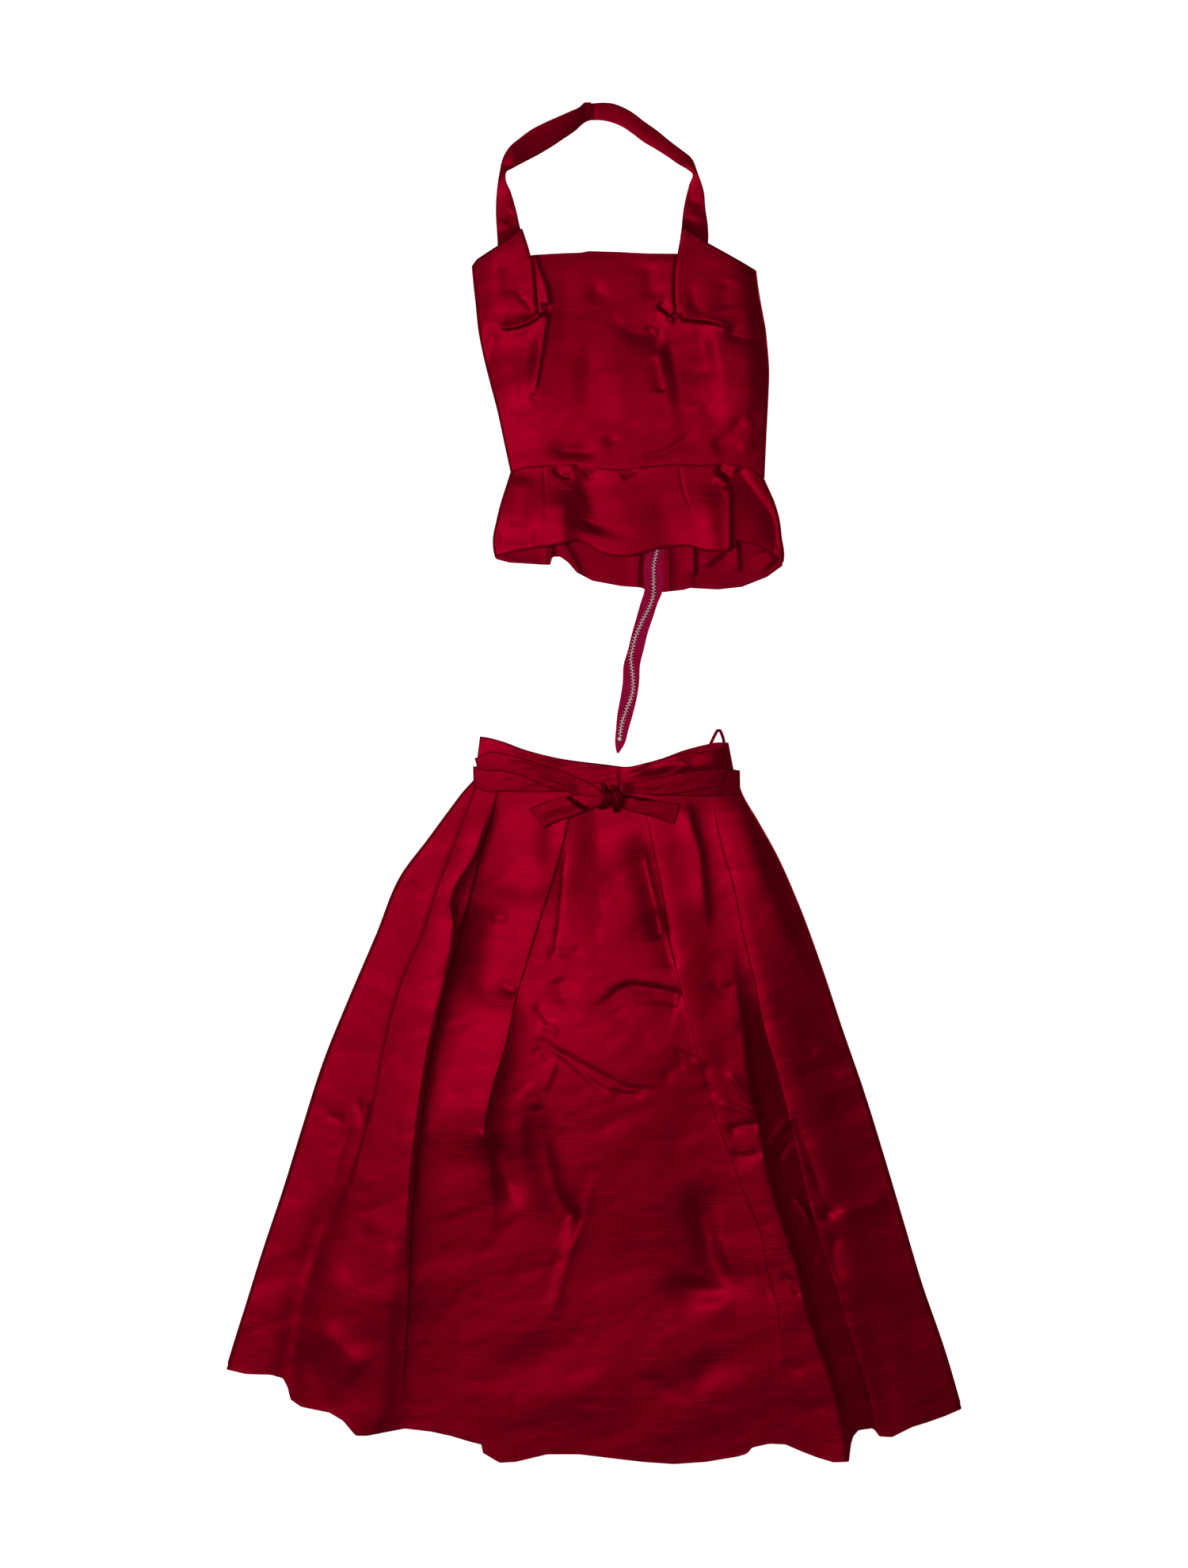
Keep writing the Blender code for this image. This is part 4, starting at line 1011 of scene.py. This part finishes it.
def make_waistband():
    for name, base, top in (
        ("waistband_back_left", path(-158,-9, -95,-9, -33,-9, 14,-9), BAND_TOP_BACK_LEFT),
        ("waistband_back_right", path(16,-9, 82,-9, 120,-9, 187,-9), BAND_TOP_BACK_RIGHT),
    ):
        strand(name, base, top, lambda x, y, s, t: 2.2 + 0.0 * x, 71, (0.18, 0.05), ["skirt_back_left"], rough=0.15,
               material=LINING, slot="crimson_satin")

    def front_height(x, y, s, t):
        swell = 7.0 * smooth((x - 26.0) / 40.0) * smooth((y - 2.0) / 28.0) * smooth((190.0 - x) / 36.0)
        return waist_height(x) + 1.4 + 3.4 * (1 - t) + swell

    strand("waistband_front", path(-160,-10, -95,-10, -33,-10, 40,-10, 116,-10, 190,-10), BAND_TOP_FRONT,
           front_height, 73, (0.36, 0.052), ["skirt_front_center"], rough=0.35, rows=150, material=SATIN,
           slot="crimson_satin", creases=[
               ((1.2, 1.6, 3, 0, 0), 30, 26, 29, 8, 30, -8), ((-0.9, 6, 5), -110, 44, -70, 36, -30, 26),
               ((-1.2, 5, 4), 60, 22, 100, 28, 150, 34), ((1.2, 4, 4), 104, 36, 118, 26, 128, 18),
               ((1, 5, 5), -152, 40, -120, 32, -100, 22)])


def make_sash():
    strand("sash_back", [(-159, -13), (193, -14)], [(-159, 22), (193, 15)], lambda x, y, s, t: 0.9 + 0.0 * x, 75,
           (0.36, 0.035), ["skirt_back_left"], rough=0.05)
    strand("sash_wrap_left",
           path(-159.5,-4, -149,-10, -116,-11, -70,-11.5, -36,-11),
           path(-160,23, -148,19, -116,20, -70,12, -36,4),
           lambda x, y, s, t: waist_height(x) + 6.4, 77, (0.128, 0.034), ["waistband_front"], 0.0038,
           [((0.35, 4, 4), -158, 14, -110, 8, -50, -4)])
    strand("sash_wrap_right",
           path(100,-16, 116,-16.4, 160,-17, 193.5,-14),
           path(100,8, 120,12, 178,19, 193,17),
           lambda x, y, s, t: waist_height(x) + 6.4, 79, (0.095, 0.036), ["waistband_front"], 0.0029)
    strand("sash_front_right",
           path(34,-13, 50,-13.5, 65,-14.5, 87,-16.4, 100,-15, 125,-11.5, 149,-6.5, 167,-4),
           path(34,-1, 50,2, 75,6, 100,11, 125,15.3, 149,18.3, 166,19.4, 178,19.6),
           lambda x, y, s, t: waist_height(x) + 9.0 + 2.0 * (1 - smooth(s / 0.15)), 81, (0.15, 0.03),
           ["sash_wrap_right"], 0.0033,
           [((0.45, 4, 4), 46, -4, 90, -2, 140, 8), ((-0.4, 3, 3), 40, -10, 70, -9, 96, -10)])
    strand("sash_cross_left",
           path(-156,26, -150,19, -123,16, -101,11, -74,1, -54,-7.7, -34,-11.5, -21.6,-19, -9,-27.5, 1,-31, 12,-29),
           path(-158,33, -136,41, -116,38, -86,31, -64,23, -51,19.6, -39,15.8, -24,8.4, -9,2.2, 6,-7.7, 17,-18),
           lambda x, y, s, t: waist_height(x) + 8.6 + 2.5 * smooth((s - 0.75) / 0.2), 83, (0.205, 0.036),
           ["sash_wrap_left"], 0.0050, rough=0.2, rows=130, creases=[
               ((0.6, 4, 4), -140, 34, -90, 24, -50, 10, -10, -10), ((-0.6, 3, 4), -70, 10, -40, 0, -10, -16),
               ((0.5, 4, 3), -100, 18, -60, 3, -24, -14, 2, -27)])
    strand("sash_tail_left",
           path(16,-28, 11,-29, -4,-34, -24,-42.5, -49,-51, -66,-59),
           path(22,-16, -5,-16, -27,-15.5, -39,-17.6, -61,-24, -86,-33.7),
           lambda x, y, s, t: 15.6 + 2.5 * (1 - smooth(s / 0.2)), 85, (0.11, 0.028), ["skirt_front_left"], 0.0029,
           [((0.5, 4, 3), -78, -42, -40, -30, -8, -24), ((-0.4, 3, 3), -72, -50, -40, -40, -10, -30)],
           rough=0.12, gap=1.4, body="sash_tail_left")
    strand("sash_tail_right",
           path(30,-30, 40,-34, 65,-41, 87.5,-47.5, 106,-54.5),
           path(30,-13, 39,-15, 65,-19, 90,-24, 114,-27),
           lambda x, y, s, t: 15.2 + 2.0 * (1 - smooth(s / 0.2)), 87, (0.082, 0.028), ["skirt_front_center"], 0.0020,
           [((0.4, 4, 3), 36, -20, 70, -28, 104, -36), ((0.4, 3, 3), 36, -28, 70, -38, 104, -47)],
           rough=0.12, gap=1.4, body="sash_tail_right")
    make_knot()


def directions(middle):
    """Unit steps along a line in space, and the level direction at its side."""
    tangent = np.gradient(middle, axis=0)
    tangent /= np.linalg.norm(tangent, axis=1)[:, None]
    return tangent, np.cross(tangent, (0.0, 0.0, 1.0))


def knot_part(columns, rows, route, half_width, twist, seed):
    """A band carried over an arch: route gives places (x, y, z) of its middle, half_width its half-width at each."""
    middle = curve(route, rows)
    widths = curve([(i, 0.0, w) for i, w in enumerate(half_width)], rows)[:, 2]
    tangent, side = directions(middle)
    side /= np.maximum(np.linalg.norm(side, axis=1)[:, None], 1e-6)
    if twist is not None:
        side = np.tile(np.array(twist, float) / np.linalg.norm(twist), (rows, 1))
    up = np.cross(side, tangent)
    across = np.linspace(-1.0, 1.0, columns)
    grid = middle[:, None, :] + side[:, None, :] * (across[None, :] * widths[:, None])[:, :, None]
    swell = (1.0 - across**2)[None, :] * widths[:, None] * 0.32
    down, side_share = shares(rows, columns)
    pleat = 0.25 * np.sin(across * 6.0 + 0.6)[None, :]
    pleat = pleat + 0.2 * waves(down * 60.0, side_share * 20.0 - 10.0, (30, 4), seed)
    grid = grid + up[:, None, :] * (swell + pleat)[:, :, None]
    return grid if faces_up(grid) else grid[:, ::-1]


def make_knot():
    """The knot: a band drawn tight over the crossing, the loop beside it and the small tuck above."""
    parts = [
        knot_part(17, 40, [(24, -2, 17), (25, -4, 22), (26, -9, 27), (27.5, -18, 29.5), (29, -27, 28), (29.5, -35, 23),
                           (29, -39, 17)], [2.6, 4.4, 6.6, 8.2, 7.6, 4.6, 2.4], (1.0, 0.12, 0.0), 91),
        knot_part(13, 26, [(30, -4, 20), (24, -12, 26.0), (18, -21, 25.5), (12, -29, 22), (6, -32, 18)],
                  [2.0, 3.6, 5.4, 5.6, 3.0], None, 95),
        knot_part(9, 20, [(10.5, 0, 17), (11.5, -2, 22), (13.5, -6, 24), (16, -10, 23), (18, -13, 19)],
                  [2.0, 3.2, 3.6, 3.2, 2.0], None, 97),
    ]
    vertices, faces, threads_at = [], [], []
    for grid in parts:
        faces += quads(*grid.shape[:2], len(vertices))
        vertices += grid.reshape(-1, 3).tolist()
        threads_at.append(weave_of(grid)[:, :, ::-1].reshape(-1, 2))
    piece = new_piece("cloth_sash_knot", vertices, faces, SASH, np.concatenate(threads_at))
    thicken(piece, RIBBON)
    carry(piece, "sash_knot", "skirt")


def make_loop(name, body, route, half_width, lean, flat, area):
    """A hanger loop of narrow ribbon, leaning from level by an angle in radians."""
    middle = curve(route, count(60))
    side = directions(middle)[1] * math.cos(lean) + np.array([0.0, 0.0, 1.0]) * math.sin(lean)
    across = np.linspace(-half_width, half_width, 6)
    grid = middle[:, None, :] + side[:, None, :] * across[None, :, None]
    lay(name, grid, body, flat, ["waistband_back_right"], area, LOOP, "loop_ribbon", lengthwise=True)


def make_loops():
    make_loop("hanger_loop_right", "hanger_loop",
              [(152, 47, 5.0), (156, 56, 6.2), (160.5, 65, 7.2), (163.6, 69.8, 8.4), (166.6, 69.6, 8.6), (169, 65, 8.0),
               (171.4, 58, 7.0), (172.6, 48, 5.6)], 2.2, 0.45, (0.010, 0.063), 0.00024)
    make_loop("hanger_loop_left", "skirt",
              [(-110, 40, 4.4), (-111, 30, 4.4), (-109, 18, 4.4), (-103, 12, 4.4), (-97, 17, 4.4), (-95, 28, 4.4),
               (-97, 38, 4.4)], 1.5, 0.2, (0.010, 0.068), 0.00021)


# ---------------------------------------------------------------- zips

TAIL_PATH = path(79.3,264, 78.6,250, 76,240, 63.5,214, 53,187, 49,164, 51,144, 51,121, 43.6,99, 37,80, 34,61, 33,53)
TAIL_LEFT_EDGE = path(
    68,264, 66,252, 62,240, 56,219, 50,198, 45,177, 39,156, 38,135, 35,114, 31,93, 29,72, 28,51, 30,40,
)
TAIL_RIGHT_EDGE = path(
    92,264, 90,252, 85,240, 78,219, 71,198, 66,177, 61,156, 60,135, 57,114, 52,93, 46,72, 40,51, 33,40,
)
TOOTH = (4.2, 1.25, 1.5)        # a tooth's size across the zip, along it and upwards
TOOTH_SETBACK = 1.1             # its middle's distance from the zip's line
TOOTH_PITCH = 2.1
CHAIN_HEIGHT = 2.3
TAIL_CHAIN_HEIGHT = 1.9
TAPE_HEIGHT = 1.9
TAIL_TAPE_HEIGHT = 1.5
HALF_GAP = 0.2                  # half of the gap between a zip's tapes


def add_tooth(vertices, faces, centre, side, along):
    """Adds a tooth: a block narrower at its top."""
    start = len(vertices)
    for share, narrow in ((0.0, 1.0), (0.6, 1.0), (1.0, 0.74)):
        for sx, sy in ((-1, -1), (1, -1), (1, 1), (-1, 1)):
            place = centre + side * (sx * TOOTH[0] / 2 * narrow) + along * (sy * TOOTH[1] / 2 * narrow)
            vertices.append((place[0], place[1], centre[2] + share * TOOTH[2]))
    for base in (start, start + 4):
        for k in range(4):
            n = (k + 1) % 4
            faces.append((base + k, base + n, base + 4 + n, base + 4 + k))
    faces.append((start + 8, start + 9, start + 10, start + 11))
    faces.append((start + 3, start + 2, start + 1, start))


def make_teeth(name, line, height, body, wave=None):
    """Two rows of interlocked metal teeth along a line."""
    dense = curve(line, 400)
    lengths = np.concatenate([[0.0], np.cumsum(np.linalg.norm(np.diff(dense, axis=0), axis=1))])
    vertices, faces = [], []
    for k in range(int(lengths[-1] / TOOTH_PITCH)):
        s = (k + 0.5) * TOOTH_PITCH
        px, py = (np.interp(s, lengths, dense[:, i]) for i in (0, 1))
        qx, qy = (np.interp(s + 0.5, lengths, dense[:, i]) for i in (0, 1))
        along = np.array([qx - px, qy - py, 0.0])
        along /= np.linalg.norm(along) + 1e-9
        side = np.array([-along[1], along[0], 0.0]) * (1.0 if k % 2 else -1.0)
        place = np.array([px, py, height + (wave(s) if wave else 0.0)])
        add_tooth(vertices, faces, place + side * TOOTH_SETBACK, side, along)
    carry(new_piece("metal_" + name, vertices, faces, METAL), name, body)


def offset_line(line, distance):
    """A line moved sideways, positive to its left as it runs."""
    places = curve(line, 40)
    tangent = np.gradient(places, axis=0)
    tangent /= np.linalg.norm(tangent, axis=1)[:, None]
    return places + np.stack([-tangent[:, 1], tangent[:, 0]], axis=1) * distance


def make_tape(name, outer, inner, height, body, flat, rest, area=None, wave=None):
    plan = between(outer, inner, count(110), 9)
    x, y = plan.transpose(2, 0, 1)
    steps = np.linalg.norm(np.diff(plan[:, -1], axis=0), axis=1)
    s = np.concatenate([[0.0], np.cumsum(steps)])[:, None]
    across = np.linspace(0.0, 1.0, 9)[None, :]
    z = height + 0.0 * x + (wave(s) if wave else 0.0) + 0.1 * across**3 - 0.25 * (1 - across) ** 2
    lay(name, np.dstack([x, y, z]), body, flat, [rest], area, TAPE, "zip_tape", WEBBING, lengthwise=True)


def tail_wave(s):
    """The zip's loose end ripples a little off the table."""
    return 1.2 * np.sin(np.asarray(s) / 34.0 + 0.4) ** 2 + 0.2


def make_zips():
    make_teeth("back_zip_chain", BACK_ZIP, CHAIN_HEIGHT, "top")
    make_teeth("tail_chain", TAIL_PATH[:-1], TAIL_CHAIN_HEIGHT, "zip_tail", tail_wave)
    make_teeth("skirt_zip_chain", path(15,-24, 15,-110, 15,-200), CHAIN_HEIGHT, "skirt")
    # a line that runs down the garment has its left at +X
    for label, side, edge in (("left", -1, TAIL_LEFT_EDGE), ("right", 1, TAIL_RIGHT_EDGE)):
        make_tape("back_zip_tape_" + label, offset_line(BACK_ZIP, side * 12.5), offset_line(BACK_ZIP, side * HALF_GAP),
                  TAPE_HEIGHT, "top", (0.011, 0.40), "bodice_back_left")
        make_tape("skirt_zip_tape_" + label, [(15 + side * 11.0, -24), (15 + side * 11.0, -200)],
                  [(15 + side * HALF_GAP, -24), (15 + side * HALF_GAP, -200)], TAPE_HEIGHT, "skirt", (0.011, 0.18),
                  "skirt_back_left")
        inner = [*offset_line(TAIL_PATH, side * HALF_GAP)[:-2].tolist(), (33, 50), (32, 40)]
        make_tape("tail_tape_" + label, edge, inner, TAIL_TAPE_HEIGHT, "zip_tail", (0.0115, 0.235), "skirt_back_left",
                  0.0024, tail_wave)
    kept = ["tail_bottom_stop", "waist_hook", "waist_bar"]
    for zip_name in ("back_zip", "skirt_zip"):
        kept += [zip_name + end for end in ("_slider", "_pull_tab", "_top_stop_left", "_top_stop_right")]
    for node in kept:
        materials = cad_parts[node].data.materials
        materials.clear()
        materials.append(METAL)


ground = Ground()
make_skirt_front()
make_skirt_back()
make_bodice()
make_peplum()
make_strap("strap_left", STRAP_LEFT_OUTER, STRAP_LEFT_INNER, -1)
make_strap("strap_right", STRAP_RIGHT_OUTER, STRAP_RIGHT_INNER, 1)
make_waistband()
make_sash()
make_loops()
make_zips()


# ---------------------------------------------------------------- stage

WHITE = (1.0, 1.0, 1.0, 1.0)


def make_stage():
    bpy.ops.mesh.primitive_plane_add(size=14.0, location=(0.0, 0.0, -0.0004))
    floor = bpy.context.active_object
    floor.name = "floor"
    made, tree, shader = new_material("pale_floor")
    feed(tree, shader, {
        "Base Color": (0.86, 0.86, 0.86, 1.0), "Roughness": 0.9, "Specular IOR Level": 0.1,
        "Emission Color": WHITE, "Emission Strength": 0.9,
    })
    floor.data.materials.append(made)


def make_lights():
    """A tall window above and to the left, and a faint even sky."""
    place = Vector((-1.0, 0.22, 4.4))
    data = bpy.data.lights.new("window", "AREA")
    data.shape = "RECTANGLE"
    data.size, data.size_y = 1.1, 1.7
    data.energy = 65.0
    lamp = bpy.data.objects.new("window", data)
    lamp.location = place
    lamp.rotation_euler = (-place).to_track_quat("-Z", "Y").to_euler()
    bpy.context.scene.collection.objects.link(lamp)
    world = bpy.data.worlds.new("studio")
    world.use_nodes = True
    feed(world.node_tree, world.node_tree.nodes["Background"], {"Color": WHITE, "Strength": 0.09})
    bpy.context.scene.world = world
    bpy.context.scene.view_settings.view_transform = "Standard"


def make_camera():
    """Straight above, framing 2.078 m of the table from top to bottom."""
    data = bpy.data.cameras.new("camera")
    data.lens = 85.0
    data.sensor_width = 36.0
    eye = bpy.data.objects.new("camera", data)
    eye.location = (0.0, -0.001, 4.904)
    bpy.context.scene.collection.objects.link(eye)
    bpy.context.scene.camera = eye


make_stage()
make_lights()
make_camera()
